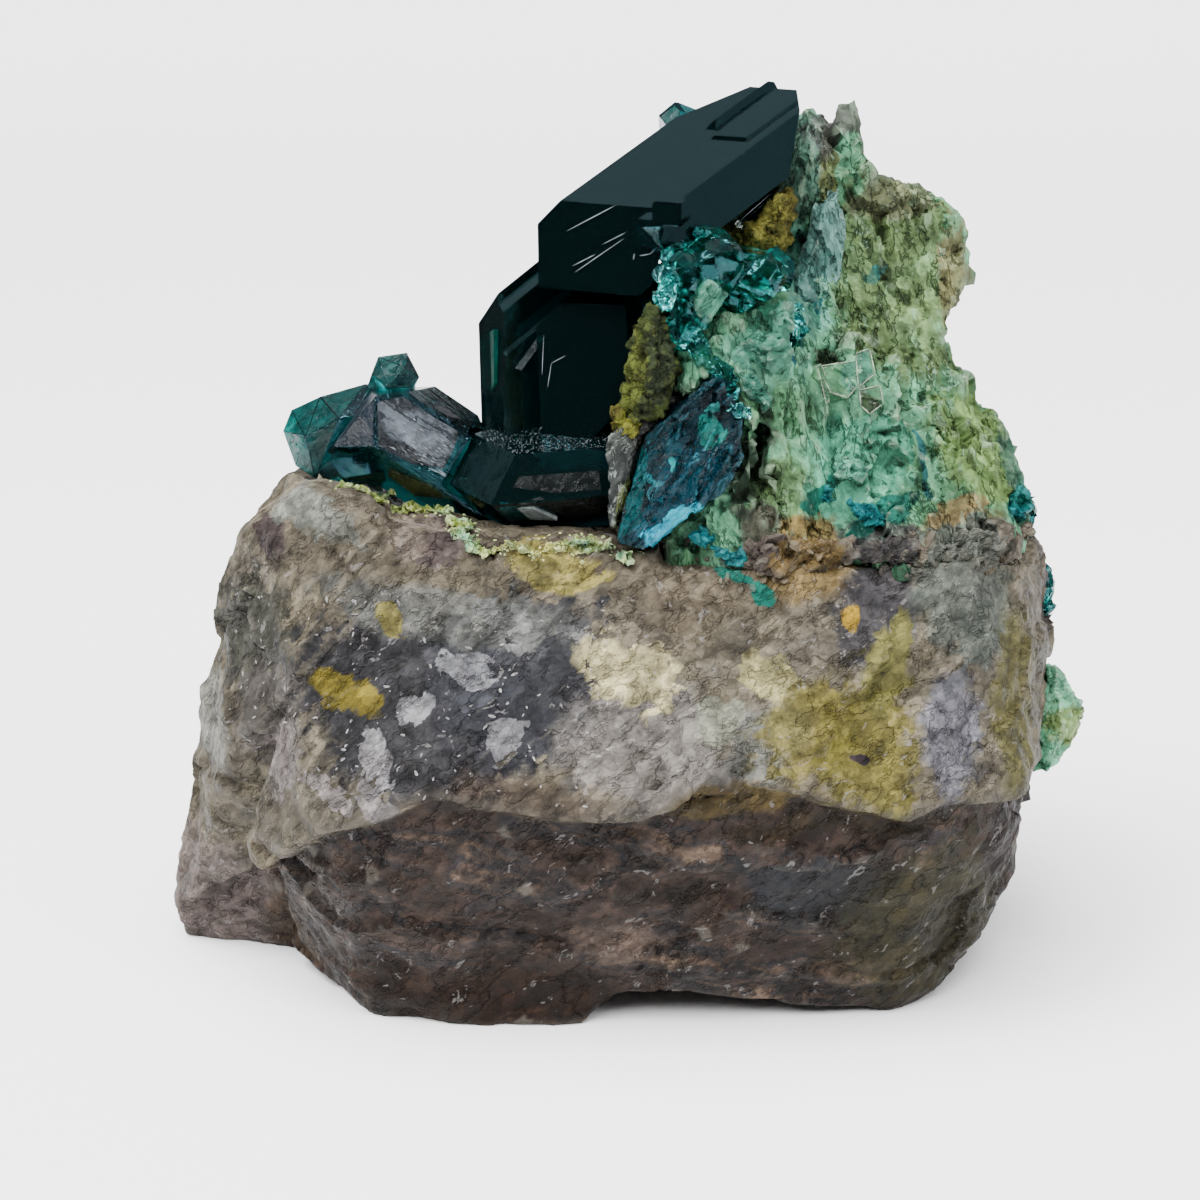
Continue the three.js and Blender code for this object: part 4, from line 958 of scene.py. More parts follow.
# %% [markdown]
# ## Plates
#
# A face that looks pale grey, slate or olive has a thin skin of its own over the dark glass, and on some of
# these skins the pale sheen, the grey reflection and the teal glow are painted. Each such skin is a flat
# plate:
# its outline is laid on the solid's faces, levelled, and given a small thickness, most of it sunk into the
# crystal. The same plates, thicker and broken, stand on the crust wall as slabs and scales.


# %% Plates on faces
def levelled(surface, outline):
    """An outline laid on a surface and flattened, and the direction out of it."""
    found = [surface.find_nearest(Vector(point)) for point in outline]
    middle = sum((f[0] for f in found), Vector()) / len(found)
    outward = sum((f[1] for f in found), Vector()).normalized()
    return [f[0] - (f[0] - middle).dot(outward) * outward for f in found], outward


def make_plates(name, solid, outlines, lift, depth, material, slot, square=None, **breaks):
    """Flat plates laid on a solid's faces.

    Each plate is as thick as depth and stands out by lift, so that the rest of it is sunk in. If a square is
    given, the plates are remeshed with squares of that size and broken.
    """
    surface = surface_of(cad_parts[solid].data)
    shape = bmesh.new()
    for outline in outlines:
        flat, outward = levelled(surface, outline)
        top = [shape.verts.new(point + lift * outward) for point in flat]
        base = [shape.verts.new(point + (lift - depth) * outward) for point in flat]
        shape.faces.new(top)
        shape.faces.new(base[::-1])
        for i in range(len(flat)):
            j = (i + 1) % len(flat)
            shape.faces.new((top[j], top[i], base[i], base[j]))
    bmesh.ops.recalc_face_normals(shape, faces=shape.faces)
    mesh = bpy.data.meshes.new(name)
    shape.to_mesh(mesh)
    shape.free()
    piece = new_object(name, mesh)
    if square:
        remesh(piece, square, 1)
        shape_with(piece, broken_skin, **breaks)
    return finish(piece, material, slot)


# %% Finishes for the plates
SLATE_TURN = math.radians(-33)
# painted reflection: a pale grey skin for the lit reflection on a face that looks down
painted_reflection_grey = make_stone(
    "etched_grey", ("7c8686", "929c9c"), [], "8a9292", "1c2020", "8a9494",
    shade=0.8, relief=0.3, rough=(0.2, 0.45), gloss=0.4)
# the left crystal's front face: dark slate with painted sheen, as pale streaks and a pale patch
PAINTED_SHEEN_STAINS = [("painted_sheen_grey", "aab6c4", (-10.9, -6.8, 29.2), (1.9, 2.0, 0.7), 33, 0.4, 3.4, 0.5)]
painted_sheen_slate = make_stone(
    "streaked_face", ("10161c", "1e2730"), PAINTED_SHEEN_STAINS, "1c242d", "07090c", "c0ccd8", turn=SLATE_TURN,
    stretch=0.12, shade=0.4, relief=0.9, rough=(0.15, 0.4), gloss=0.3, flecks=0.85, veins=0.7)
slate = make_stone(
    "slate_face", ("10161c", "1c242d"), [], "1a222a", "06090c", "5a6672", turn=SLATE_TURN,
    stretch=0.15, shade=0.8, relief=0.5, rough=(0.15, 0.4), gloss=0.3, flecks=0.4, veins=0.4)
# the bright teal at the tip is painted glow, the light through its thin edge; the rest is the crystal's dark
# teal
TIP_GLOW_PAINTED = [("painted tip glow", "0f8a80", (-18.2, -3.0, 27.4), (1.2, 3.0, 1.8), 0, 0.5, 1.6, 0.85)]
teal_face = make_stone(
    "teal_face", ("06302f", "0a4f4c"), TIP_GLOW_PAINTED, "0a4a48", "031a1c", "2a8f88", turn=UP_RIGHT,
    stretch=0.4, shade=0.38, relief=0.5, rough=(0.15, 0.4), gloss=0.2, veins=0.6)
SMOKY_STAINS = [("dark top", "0a1012", (-4.0, -8.0, 27.0), (4.0, 3.0, 0.9), 0, 0.8, 1.2, 0.95)]
smoky_front = make_stone(
    "smoky_front", ("1c2424", "343c38"), SMOKY_STAINS, "1c2220", "0c1010", "4c5854", turn=UP_RIGHT,
    stretch=0.5, shade=0.4, relief=0.3, rough=(0.15, 0.35), gloss=0.3, flecks=0.3, veins=0.3, mottle=0.3)
# painted glow: an opaque teal skin for the light that shines through a thin crystal edge
teal_glow = make_stone(
    "teal_glow", ("034a44", "056a58"), [], "04584c", "021f20", "10a088", turn=UPRIGHT,
    stretch=0.3, shade=0.3, relief=0.3, rough=(0.4, 0.6), gloss=0.02, flecks=0.5, veins=0.3)
smoky = make_stone(
    "smoky_step", ("161c1e", "20282a"), [], "20282a", "0a0c0c", "404a4c",
    shade=0.8, relief=0.2, rough=(0.15, 0.35), gloss=0.4)
olive_glass = make_stone(
    "olive_glass", ("1c2216", "363c1e"), [], "30361e", "10140c", "707a48",
    shade=0.7, relief=0.4, rough=(0.12, 0.35), gloss=0.5)
print("stone and glass finishes so far:", len(bpy.data.materials))


# %% Plates on the left crystals
DRAWN_IN = 0.06          # how far a plate's corners are moved in, as a share of the way to its middle
THIN = 0.012             # how far a thin skin stands out of its face


def drawn_in(*corners):
    """A face's corners, moved a little towards their middle, so that the crystal shows round the plate."""
    middle = sum((Vector(c) for c in corners), Vector()) / len(corners)
    return [Vector(c).lerp(middle, DRAWN_IN) for c in corners]


# painted sheen on the left crystal's striated front
make_plates("streaked_face", LEFT, [
    ((-13.0, -7.1, 30.8), (-11.7, -6.8, 31.0), (-10.5, -6.5, 30.1), (-9.0, -6.1, 29.1), (-9.3, -6.3, 28.2),
     (-9.8, -6.5, 27.3), (-11.4, -6.8, 27.6), (-13.0, -7.2, 28.6)),
    ((-11.1, -6.2, 31.1), (-11.0, -5.4, 31.3), (-9.8, -5.3, 30.5), (-9.1, -5.8, 29.6), (-9.5, -6.2, 29.8)),
], THIN, 0.3, painted_sheen_slate, "dioptase")
make_plates("slate_faces", LEFT, [
    drawn_in((-15.48, -5.78, 28.29), (-13.25, -7.25, 28.55), (-13.13, -7.02, 31.01)),
    drawn_in((-15.48, -5.78, 28.29), (-13.04, -6.99, 31.13), (-13.64, -3.86, 30.88), (-14.41, -4.77, 29.77)),
], THIN, 0.3, slate, "dioptase")
TIP = (-17.0, -4.6, 28.6)
AROUND_TIP = [
    (-17.7, -3.6, 26.9), (-18.4, -2.8, 28.6), (-18.0, -2.2, 29.6), (-16.4, -2.8, 30.4), (-15.2, -5.0, 29.6),
    (-16.6, -4.4, 26.4), (-17.7, -3.6, 26.9),
]
tip_faces = [drawn_in(TIP, a, b) for a, b in zip(AROUND_TIP, AROUND_TIP[1:])]
tip_faces.append(drawn_in((-16.4, -2.8, 30.4), (-15.2, -5.0, 29.6), (-14.0, -3.0, 31.1)))
CAP = [
    (-12.71, -4.85, 31.18), (-13.6, -3.59, 31.75), (-13.31, -3.07, 32.51), (-11.78, -4.08, 32.11),
    (-11.81, -3.29, 32.76), (-11.12, -4.06, 31.62), (-11.43, -4.19, 31.07),
]
CAP_FACES = ((0, 1, 2), (0, 2, 3), (2, 4, 3), (0, 3, 5, 6))
tip_faces += [drawn_in(*(CAP[i] for i in face)) for face in CAP_FACES]
make_plates("teal_faces", LEFT, tip_faces, THIN, 0.25, teal_face, "dioptase")

# %% Plates on the main crystals
# the teal strip along the second crystal's left edge is painted glow
make_plates("teal_strip", MAIN, [
    ((-8.2, -2.5, 33.5), (-7.05, -4.35, 34.1), (-7.15, -4.75, 31.4), (-7.5, -4.3, 30.9), (-8.25, -2.4, 30.9)),
], THIN, 0.25, teal_glow, "dioptase")
make_plates("smoky_front", MAIN, [
    ((-6.2, -8.4, 26.7), (-5.9, -8.2, 27.2), (-1.9, -7.6, 27.4), (-1.8, -7.9, 26.5), (-4.0, -8.3, 26.4)),
    ((-6.5, -8.4, 26.0), (-1.9, -7.8, 26.1), (-1.8, -6.7, 25.0), (-3.6, -7.0, 24.9), (-4.6, -7.9, 25.8)),
], THIN, 0.25, smoky_front, "dioptase")
make_plates("back_tip", MAIN, [
    ((1.35, 0.8, 44.5), (2.0, 0.92, 45.1), (2.3, 0.75, 44.8), (2.25, 0.45, 44.2), (1.6, 0.4, 44.1)),
], 0.02, 0.2, teal_face, "dioptase")
# the grey trapezoid on the ledge crystal's lower face is painted reflection
make_plates("etched_plate", MAIN, [
    ((-6.9, -8.4, 25.5), (-5.2, -8.2, 25.7), (-4.0, -7.2, 24.9), (-6.5, -7.4, 24.8)),
], 0.03, 0.3, painted_reflection_grey, "dioptase")
# growth steps on the main crystals; their pale grey is painted highlight
MAIN_RIBS = [
    ((-3.5, -6.1, 39.2), (-1.1, -6.8, 40.5)), ((-3.1, -6.4, 37.2), (-0.7, -7.1, 38.9)),
    ((-3.2, -6.3, 37.5), (-2.1, -6.7, 38.1)), ((-1.7, -6.7, 38.6), (-0.6, -7.1, 39.2)),
    ((-4.8, -5.3, 31.9), (-4.7, -5.1, 33.9)), ((-4.5, -5.4, 31.3), (-4.3, -5.3, 32.5)),
    ((-4.3, -5.3, 32.5), (-3.6, -5.5, 32.9)), ((5.0, -3.4, 39.1), (6.5, -3.4, 40.4)),
    ((5.4, -4.4, 39.4), (6.9, -4.2, 40.8)), ((-0.2, -7.3, 37.9), (-0.15, -7.3, 38.2)),
    ((0.1, -7.4, 38.1), (0.6, -7.6, 38.2)), ((0.6, -7.6, 38.2), (1.0, -7.8, 38.6)),
]
make_ribs("main_growth_ribs", laid_on(MAIN, MAIN_RIBS), 0.016, painted_sheen_grey)
make_plates("smoky_steps", MAIN, [
    ((-6.2, -5.0, 32.2), (-4.9, -5.1, 33.9), (-4.5, -5.2, 33.9), (-5.8, -5.0, 32.1)),
    ((-6.0, -8.5, 25.9), (-4.8, -8.6, 26.3), (-4.5, -8.6, 26.0), (-5.6, -8.5, 25.8)),
], 0.03, 0.3, smoky, "dioptase")
make_plates("step_block", MAIN, [
    ((0.1, -7.4, 39.6), (1.3, -7.9, 39.7), (1.4, -7.9, 38.4), (0.2, -7.4, 38.3)),
], 0.22, 0.5, deep_green, "dioptase")
make_plates("olive_faces", LEFT, [
    ((-12.6, -6.4, 27.2), (-10.4, -6.6, 26.4), (-9.7, -6.4, 25.7), (-11.4, -5.6, 25.5), (-12.8, -6.0, 26.6)),
], 0.03, 0.3, olive_glass, "dioptase")
make_plates("olive_corner", MAIN, [
    ((-9.2, -6.6, 26.5), (-8.4, -7.1, 26.7), (-7.7, -7.5, 25.6), (-8.0, -7.3, 25.0), (-9.0, -6.6, 25.2)),
], 0.03, 0.3, olive_glass, "dioptase")

# %% [markdown]
# ## The small lumps
#
# A grey quartz splinter, two lumps of yellow earth and a pale green tooth are small rocks in their own
# right. Each is remeshed and broken like the big lump, with chips that suit its size, and shaded smooth.


# %% Making a lump
def make_lump(node, name, square, material, slot, **breaks):
    """A small rock from a CAD solid."""
    lump = remesh(plain_copy(node, name), square, 2)
    shape_with(lump, broken_skin, **breaks)
    finish(lump, material, slot, node)
    lump.data.shade_smooth()


# %% Finishes for the lumps
OCHRE_STAINS = [
    ("grey green", "3e4634", (0.7, -8.4, 33.0), (1.1, 3.0, 2.6), 10, 0.3, 1.8, 0.9),
    ("lime", "767a2c", (0.1, -9.0, 31.4), (0.9, 3.0, 3.0), 10, 0.4, 1.4, 0.8),
]
ochre_finish = make_stone("ochre_earth", ("55501f", "6d6a2f"), OCHRE_STAINS, "94904a", "15140a", "8f9048",
                          line=0.4, rough=(0.7, 0.9), shade=0.5)
MINT_STAINS = [("lime", "7c8a45", (24.0, 0.0, 12.2), (1.6, 3.0, 1.4), 0, 0.5, 1.2, 0.8)]
mint_finish = make_stone("mint_skin", ("4e8c6a", "6cae8a"), MINT_STAINS, "c4dcc4", "1e3a30", "b8dcc8",
                         line=0.1, rough=(0.35, 0.6), relief=0.6, shade=0.72, mottle=0.3)
SHARD_STAINS = [("lime edge", "5f6a2c", (-0.8, -9.4, 25.6), (0.5, 3.0, 1.6), 8, 0.2, 1.4, 0.9)]
shard_finish = make_stone("smoky_quartz", ("262a29", "3e403c"), SHARD_STAINS, "a4aca4", "8a948c", "a8b4ac",
                          turn=UPRIGHT, stretch=0.4, shade=0.55, gloss=0.3, flecks=0.5, veins=0.7)
LICHEN_STAINS = [
    ("grey green", "38422f", (1.0, -8.6, 32.8), (1.0, 3.0, 2.8), 10, 0.3, 1.8, 0.9),
    ("lime rim", "6a7434", (-0.4, -8.8, 31.4), (0.55, 3.0, 3.4), 8, 0.3, 1.8, 0.9),
]
lichen = make_stone("green_ochre", ("3a4629", "4e5a2e"), LICHEN_STAINS, "6c7440", "12140a", "949a50",
                    line=0.4, rough=(0.7, 0.9), shade=0.42)

# %% The lumps
make_lump("quartz_shard", "shard", 0.16, shard_finish, "quartz", chip_size=1.3, chip_depth=0.4,
          flake_size=0.5, flake_depth=0.15, stretch=0.4, turn=math.radians(60))
make_lump("ochre_lump_upper", "ochre_upper", 0.14, ochre_finish, "ochre", chip_size=1.1, chip_depth=0.4,
          flake_size=0.45, flake_depth=0.16, ripple_size=0.8, ripple_depth=0.3)
make_lump("ochre_lump_lower", "ochre_lower", 0.14, lichen, "ochre", chip_size=0.9, chip_depth=0.4,
          flake_size=0.4, flake_depth=0.18, ripple_size=0.6, ripple_depth=0.3)
make_lump("mint_tooth", "tooth", 0.16, mint_finish, "mint", chip_size=1.8, chip_depth=0.5,
          flake_size=0.6, flake_depth=0.15)


# %% [markdown]
# ## Coats, scales and slabs
#
# Late minerals grew over the crystals and the ridge as thin crusts. A coat is a chain of flat ellipsoid
# pads, joined by a remesh and broken like a rock. Where the real crust is a flat scale or a slab, a plate
# does it.


# %% Making a coat
COAT_DETAIL = 0.4        # the share of a coat's faces that is kept


def coat(name, pads, square, material, slot, **breaks):
    """Joins ellipsoid pads, each given by its middle, half sizes and turn, into one broken skin."""
    shape = bmesh.new()
    for middle, half, turn in pads:
        scale = Matrix.Diagonal((*half, 1.0))
        place = Matrix.Translation(middle) @ Matrix.Rotation(math.radians(turn), 4, "Y") @ scale
        bmesh.ops.create_icosphere(shape, subdivisions=3, radius=1.0, matrix=place)
    mesh = bpy.data.meshes.new(name)
    shape.to_mesh(mesh)
    shape.free()
    piece = new_object(name, mesh)
    remesh(piece, square, 1)
    shape_with(piece, broken_skin, **breaks)
    coarsen(piece, COAT_DETAIL)
    return finish(piece, material, slot)


# %% Mint on the knobs
mint_scale = make_stone(
    "mint_scale", ("3c7a66", "54987e"), [], "a8ccb4", "14302a", "9cc8b0", line=0.1, turn=UP_RIGHT,
    stretch=0.5, rough=(0.45, 0.7), relief=0.7, shade=0.5, mottle=0.4, veins=0.6)
MINT_PADS = [
    # middle, half sizes, turn
    ((6.6, -7.2, 33.2), (1.2, 0.6, 1.0), -30), ((7.2, -6.7, 34.6), (0.6, 0.6, 1.2), 0),
    ((5.6, -7.9, 31.6), (1.4, 0.5, 0.6), 40), ((5.2, -7.5, 33.0), (0.9, 0.5, 0.9), 20),
]
coat("mint_coat", MINT_PADS, 0.11, mint_scale, "mint", chip_size=1.1, chip_depth=0.5, flake_size=0.4,
     flake_depth=0.2, stretch=0.7, turn=-0.7)
make_plates("mint_plates", "dioptase_knob_cluster", [
    ((2.6, -8.8, 36.8), (3.3, -8.6, 37.3), (4.2, -8.2, 36.6), (4.7, -8.0, 36.0), (4.2, -8.2, 34.7),
     (3.5, -8.4, 34.6), (2.8, -8.7, 35.7)),
], 0.2, 0.7, mint_scale, "mint", 0.09, chip_size=1.0, chip_depth=0.22, flake_size=0.4, flake_depth=0.06)

# %% The slab and the scales on the ridge
slab_finish = make_stone(
    "blue_green_slab", ("4c7a72", "668e84"), [], "a4beb2", "18302c", "a4c4b8", line=0.1, turn=UPRIGHT,
    stretch=0.3, rough=(0.3, 0.6), relief=0.7, shade=0.5, veins=0.6)
make_plates("ridge_slab", RIDGE, [
    ((8.6, -0.6, 38.2), (9.1, -0.6, 40.0), (10.1, -0.5, 41.0), (10.8, -1.2, 38.5), (10.6, -2.4, 35.5),
     (9.5, -3.2, 34.4), (8.6, -3.6, 35.6)),
], 0.45, 1.2, slab_finish, "crust", 0.12,
            chip_size=1.6, chip_depth=0.35, flake_size=0.5, flake_depth=0.1, stretch=0.35, turn=UPRIGHT)
make_plates("mint_scales", RIDGE, [
    ((5.3, -7.6, 33.9), (6.1, -7.4, 34.6), (6.8, -7.2, 33.9), (7.4, -7.0, 33.1), (7.1, -7.1, 32.5),
     (6.1, -7.4, 32.7)),
    ((9.6, -7.4, 27.6), (10.8, -7.3, 28.2), (11.8, -7.2, 27.4), (11.2, -7.4, 26.7), (10.0, -7.6, 26.9)),
], 0.4, 0.9, mint_scale, "mint", 0.09, chip_size=1.0, chip_depth=0.3, flake_size=0.4, flake_depth=0.1)

# %% Pale glassy crystals on the ridge
GLASS_STAINS = [
    ("blue green", "38705e", (11.6, -5.0, 32.3), (0.9, 3.0, 1.4), 0, 0.3, 0.8, 0.8),
    ("smoky", "2e3822", (11.9, -5.6, 30.6), (0.8, 3.0, 0.8), 0, 0.3, 0.8, 0.9),
]
pale_glass = make_stone(
    "pale_glass", ("3e6a46", "528a62"), GLASS_STAINS, "c8d8c0", "2a3a28", "b4c8ac", line=0.05, mottle=0.25,
    shade=0.5, relief=0.3, rough=(0.15, 0.35), gloss=0.3, flecks=0.1, veins=0.2)
GLASS_OUTLINES = [
    ((8.65, -6.3, 32.4), (10.05, -6.0, 32.95), (9.9, -5.9, 31.0), (8.95, -6.3, 30.45)),
    ((9.9, -5.9, 32.7), (10.75, -5.7, 32.95), (11.15, -5.6, 31.35), (10.35, -5.9, 30.6), (9.75, -6.0, 30.9)),
    ((11.0, -5.4, 33.2), (12.0, -5.0, 33.35), (12.05, -5.2, 31.8), (11.2, -5.6, 31.15)),
    ((11.25, -5.7, 31.1), (12.3, -5.4, 31.3), (12.4, -5.6, 30.3), (11.75, -5.9, 29.85), (11.3, -5.9, 30.3)),
]
GLASS_LIFT = 0.4
make_plates("pale_glass_plates", RIDGE, GLASS_OUTLINES, GLASS_LIFT, 1.1, pale_glass, "mint", 0.08,
            chip_size=1.4, chip_depth=0.16, flake_size=0.5, flake_depth=0.03)

# %% The light seams round them
SEAM_LIFT = GLASS_LIFT + 0.02
ridge_surface = surface_of(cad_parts[RIDGE].data)
seam_lines = []
for outline in GLASS_OUTLINES:
    flat, outward = levelled(ridge_surface, outline)
    rim = [point + SEAM_LIFT * outward for point in flat]
    seam_lines += zip(rim, rim[1:] + rim[:1])
pale_seam = make_stone("pale_seam", ("8aa488", "a4b89c"), [], "d0dcc8", "4a5a44", "d0dcc8", shade=0.5)
make_ribs("pale_glass_seams", seam_lines, 0.035, pale_seam, "mint")

# %% Teal and turquoise coats
TEAL_PADS = [
    ((3.2, -8.0, 33.4), (0.5, 0.5, 1.3), -25), ((4.3, -8.5, 32.2), (0.6, 0.5, 1.2), -30),
    ((8.1, -6.0, 34.0), (0.38, 0.4, 1.6), 0), ((1.4, -8.9, 36.4), (0.5, 0.5, 0.9), 10),
    ((4.9, -9.6, 30.7), (0.5, 0.35, 0.5), 0),
]
coat("teal_coat", TEAL_PADS, 0.1, knob_green, "dioptase", chip_size=0.7, chip_depth=0.3)
turquoise = make_stone("turquoise_skin", ("0a5c54", "0e6c74"), [], "3f9c9c", "062e30", "3fa8a8", line=0.3,
                       rough=(0.2, 0.5), relief=0.6, shade=0.5)
BLUE_PADS = [
    ((3.2, -9.9, 24.5), (0.7, 0.4, 0.45), 20), ((4.4, -10.3, 23.7), (0.9, 0.3, 0.25), 25),
    ((3.6, -9.9, 30.9), (0.4, 0.3, 0.3), 30), ((9.2, -8.2, 26.4), (1.0, 0.35, 0.4), 35),
    ((11.8, -8.4, 25.3), (1.4, 0.35, 0.35), 28), ((19.8, -4.8, 25.2), (0.7, 0.4, 0.8), 40),
]
coat("turquoise_coat", BLUE_PADS, 0.08, turquoise, "mint", chip_size=0.9, chip_depth=0.45, flake_size=0.35,
     flake_depth=0.15)

# %% [markdown]
# ## Grains and flakes
#
# The last layer is strewn. A patch is a copy of some of a skin's faces, and a Geometry Nodes tree throws
# small low crystals over it, each turned to the face it lies on. Two more coats come first: a lime crust
# along the rim of the ledge, and rock pads that hide the seam at the foot of the wall.


# %% The strewing tree
def make_strewn_tree():
    """Grains over a patch. Their number comes from a density, and their sizes and leans from a seed."""
    tree, given = new_tree("strewn_grains", {
        "Density": 2.0, "Smallest": 0.1, "Largest": 0.3, "Length": 1.0, "Thickness": 1.0, "Lean": 1.5,
        "Seed": 1.0,
    })
    spread = add(tree, "GeometryNodeDistributePointsOnFaces", {
        "Mesh": given["Geometry"], "Density": given["Density"], "Seed": given["Seed"]})
    grain = add(tree, "GeometryNodeMeshIcoSphere", {"Radius": 1.0, "Subdivisions": 1})
    shape = add(tree, "ShaderNodeCombineXYZ", {0: given["Length"], 1: 1.0, 2: given["Thickness"]})
    formed = add(tree, "GeometryNodeTransform", {"Geometry": grain.outputs[0], "Scale": shape.outputs[0]})
    size = add(tree, "FunctionNodeRandomValue", {"Min": given["Smallest"], "Max": given["Largest"]},
               data_type="FLOAT")
    lean = calc(tree, "MULTIPLY", given["Lean"], 0.5)
    most = add(tree, "ShaderNodeCombineXYZ", {0: lean, 1: lean, 2: math.pi}).outputs[0]
    least = vector(tree, "SCALE", most, scale=-1.0)
    tip = add(tree, "FunctionNodeRandomValue", data_type="FLOAT_VECTOR")
    tree.links.new(least, tip.inputs[0])
    tree.links.new(most, tip.inputs[1])
    placed = add(tree, "GeometryNodeInstanceOnPoints", {
        "Points": spread.outputs["Points"], "Instance": formed.outputs[0],
        "Rotation": spread.outputs["Rotation"], "Scale": size.outputs[1]})
    tipped = add(tree, "GeometryNodeRotateInstances", {
        "Instances": placed.outputs[0], "Rotation": tip.outputs[0], "Local Space": True})
    real = add(tree, "GeometryNodeRealizeInstances", {0: tipped.outputs[0]})
    coated = add(tree, "GeometryNodeSetMaterial", {"Geometry": real.outputs[0], "Material": mint_finish})
    add(tree, "NodeGroupOutput", {0: coated.outputs[0]})
    return tree


strewn = make_strewn_tree()
print("tree:", strewn.name, "with", len(strewn.nodes), "nodes")


# %% Strewing and choosing where
def strew(name, skin, where, material, slot, **values):
    """Strews grains over the faces of a finished skin whose middle, in millimetres, passes a test."""
    corners = [v.co / MM for v in skin.data.vertices]
    kept = [p.vertices[:] for p in skin.data.polygons if where(p.center / MM, p.normal)]
    patch = bpy.data.meshes.new(name)
    patch.from_pydata(corners, [], kept)
    piece = new_object(name, patch)
    shape_with(piece, strewn, **values)
    return finish(piece, material, slot)


def near_path(path, reach):
    """A test for places within reach of a chain of points."""
    ends = [(Vector(a), Vector(b)) for a, b in zip(path, path[1:])]

    def test(spot, _):
        for a, b in ends:
            share = max(0.0, min(1.0, (spot - a).dot(b - a) / (b - a).length_squared))
            if (spot - a.lerp(b, share)).length < reach:
                return True
        return False
    return test


# %% The lime crust along the rim
RIM = [
    (-14.9, -7.8, 26.4), (-13.2, -5.3, 25.4), (-11.0, -6.2, 25.4), (-9.5, -6.6, 25.2), (-8.9, -8.3, 24.7),
    (-8.2, -10.4, 24.2), (-6.0, -10.3, 24.1), (-3.8, -10.4, 24.2), (-1.3, -10.0, 24.1), (-0.4, -10.6, 23.7),
]
RIM_STAINS = [
    ("lime", "8a9640", (-11.4, -6.4, 25.2), (1.6, 3.0, 1.2), 0, 0.5, 1.2, 0.8),
    ("yellow", "8a8444", (-5.0, -10.6, 23.8), (3.0, 3.0, 0.8), 0, 0.5, 1.2, 0.8),
]
rim_finish = make_stone("rim_crust", ("74843a", "6aa088"), RIM_STAINS, "c4cf9c", "2a3418", "b4d4b0",
                        line=0.2, rough=(0.5, 0.8), shade=0.75, veins=0.7)
RIM_PITCH = 0.5          # there is one pad for each such length of the rim
rim_surface = surface_of(quartz.data)
rim_pads = []
for start, end in zip(RIM, RIM[1:]):
    a, b = Vector(start), Vector(end)
    for _ in range(max(1, round((b - a).length / RIM_PITCH))):
        spot = a.lerp(b, rng.uniform()) + Vector((rng.uniform(-0.3, 0.3), rng.uniform(-0.5, 0.3), 0.0))
        spot = rim_surface.find_nearest(spot)[0]
        half = (rng.uniform(0.3, 0.75), rng.uniform(0.3, 0.6), rng.uniform(0.1, 0.24))
        rim_pads.append((spot, half, rng.uniform(-25, 25)))
coat("rim_coat", rim_pads, 0.09, rim_finish, "mint", chip_size=0.5, chip_depth=0.3, flake_size=0.25,
     flake_depth=0.14)

# %% The rock pads at the foot of the wall
FOOT_STAINS = [
    ("plum", "453c3a", (6.4, -10.0, 24.2), (1.2, 3.0, 1.3), 0, 0.3, 1.4, 0.85),
    ("ochre", "77623a", (8.6, -9.8, 23.8), (1.9, 3.0, 1.0), -15, 0.3, 1.5, 0.9),
    ("slate", "403e40", (12.2, -9.4, 23.7), (2.2, 3.0, 1.1), 8, 0.3, 1.5, 0.9),
    ("grey", "5a5f58", (16.6, -8.6, 23.5), (2.4, 3.0, 1.1), 0, 0.3, 1.5, 0.9),
]
foot_finish = make_stone("foot_rock", ("4c463e", "625a4c"), FOOT_STAINS, "8a8476", "15120f", "a4a096",
                         turn=UP_RIGHT, stretch=0.5, shade=0.55, veins=0.4)
FOOT_PATH = [
    (5.4, -10.6, 23.5), (9.0, -10.3, 23.6), (13.2, -9.6, 23.6), (17.4, -8.2, 23.5), (20.2, -4.8, 23.3),
]
FOOT_PITCH = 0.55
foot_pads = []
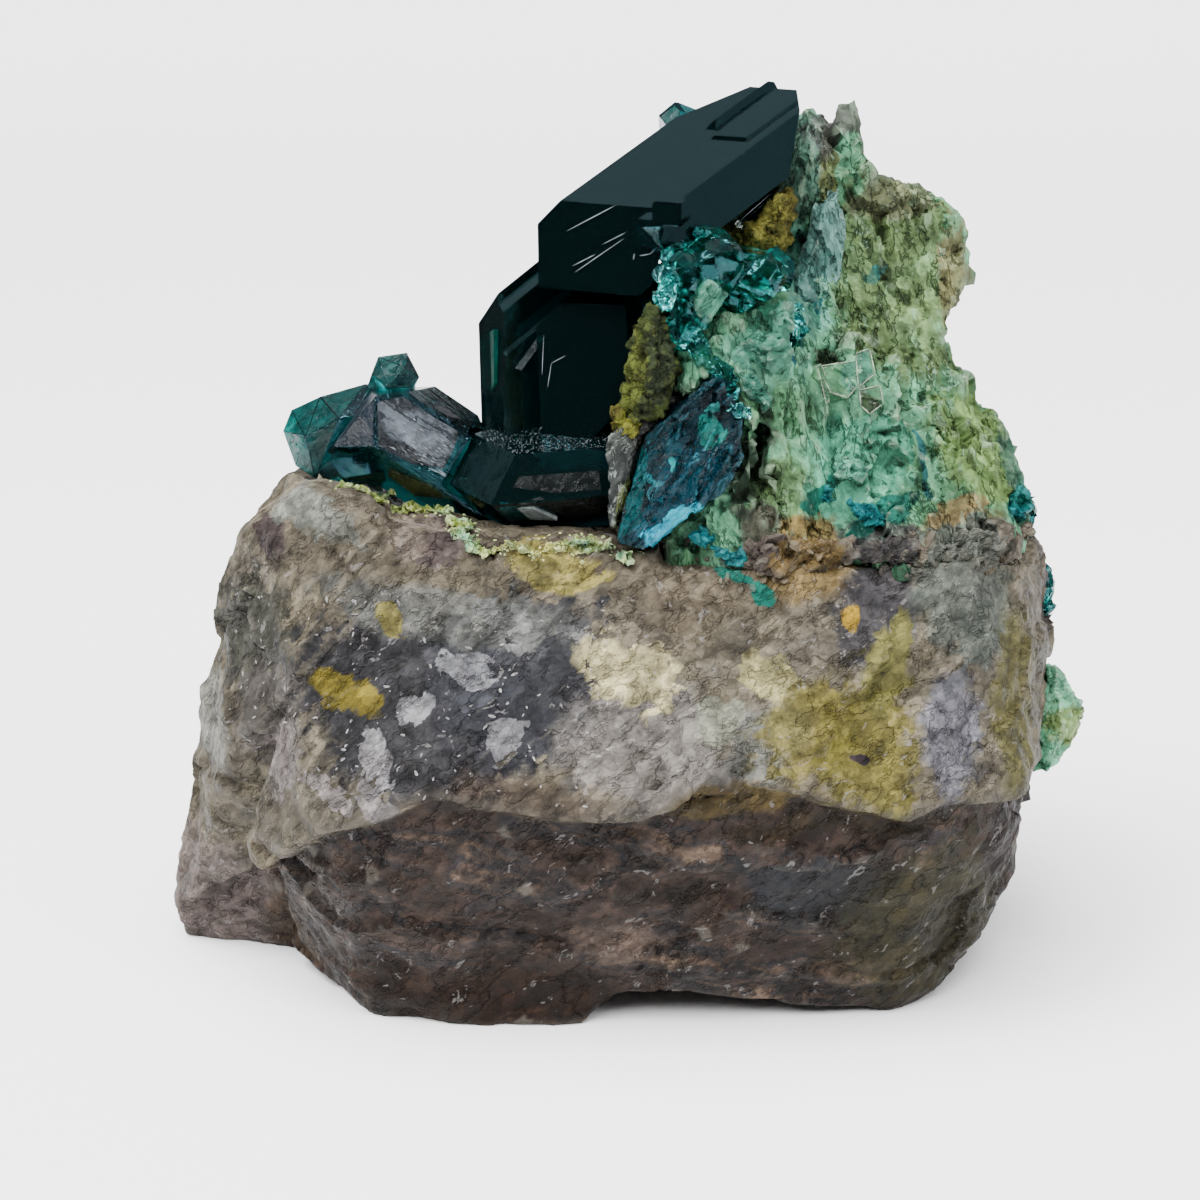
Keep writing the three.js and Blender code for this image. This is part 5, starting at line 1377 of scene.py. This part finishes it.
for start, end in zip(FOOT_PATH, FOOT_PATH[1:]):
    a, b = Vector(start), Vector(end)
    for _ in range(round((b - a).length / FOOT_PITCH)):
        spot = a.lerp(b, rng.uniform()) + Vector((0.0, rng.uniform(0.0, 0.4), rng.uniform(-0.5, 0.6)))
        half = (rng.uniform(0.6, 1.3), rng.uniform(0.5, 0.85), rng.uniform(0.35, 0.9))
        foot_pads.append((spot, half, rng.uniform(-30, 30)))
coat("foot_coat", foot_pads, 0.12, foot_finish, "quartz", chip_size=1.0, chip_depth=0.5, flake_size=0.45,
     flake_depth=0.15, stretch=0.6, turn=UP_RIGHT)

# %% Yellow earth in the gaps between the crystals
PLUG_PADS = [
    ((-0.7, -7.2, 29.9), (0.5, 0.8, 0.8), 0), ((-0.3, -8.2, 29.6), (0.5, 0.5, 0.5), 0),
    ((5.0, -3.8, 38.6), (0.6, 0.5, 0.6), 0),
]
coat("ochre_plug", PLUG_PADS, 0.1, ochre_finish, "ochre", chip_size=0.7, chip_depth=0.3, flake_size=0.3,
     flake_depth=0.1)

# %% Strewn grains
SEAM = [
    (2.6, -10.3, 23.3), (5.6, -10.9, 22.9), (9.0, -10.4, 23.3), (13.2, -9.8, 23.3), (17.4, -8.4, 23.2),
    (20.4, -4.6, 23.0),
]
strew("rim_grains", quartz, near_path(RIM, 0.9), rim_finish, "mint", density=3.0, smallest=0.05, largest=0.16,
      thickness=0.6, seed=4)
strew("seam_grains", crust, lambda spot, _: spot.z < 24.0 and spot.y < 0, quartz_finish, "quartz",
      density=1.6, smallest=0.06, largest=0.2, thickness=0.6, seed=5)
strew("seam_quartz", quartz, near_path(SEAM, 0.9), quartz_finish, "quartz", density=2.0, smallest=0.1,
      largest=0.35, thickness=0.5, lean=2.5, seed=6)

# %% Flakes and dust
pale_finish = make_stone("pale_flakes", ("85838a", "a09c9c"), [], "c8c4c0", "3a3838", "d0ccca", shade=0.5)
strew("slate_flakes", quartz, lambda spot, _: spot.y < -5 and -21 < spot.x < -1 and 13 < spot.z < 22,
      pale_finish, "quartz", density=0.6, smallest=0.03, largest=0.09, length=2.6, thickness=0.2, lean=0.6,
      seed=7)
# dust on the ledge tops; its grey is real dust and also a painted dull sheen
strew("crystal_dust", main, lambda spot, normal: normal.z > 0.6 and spot.z < 29.5, painted_sheen_grey, "dioptase",
      density=34.0, smallest=0.01, largest=0.026, seed=9)
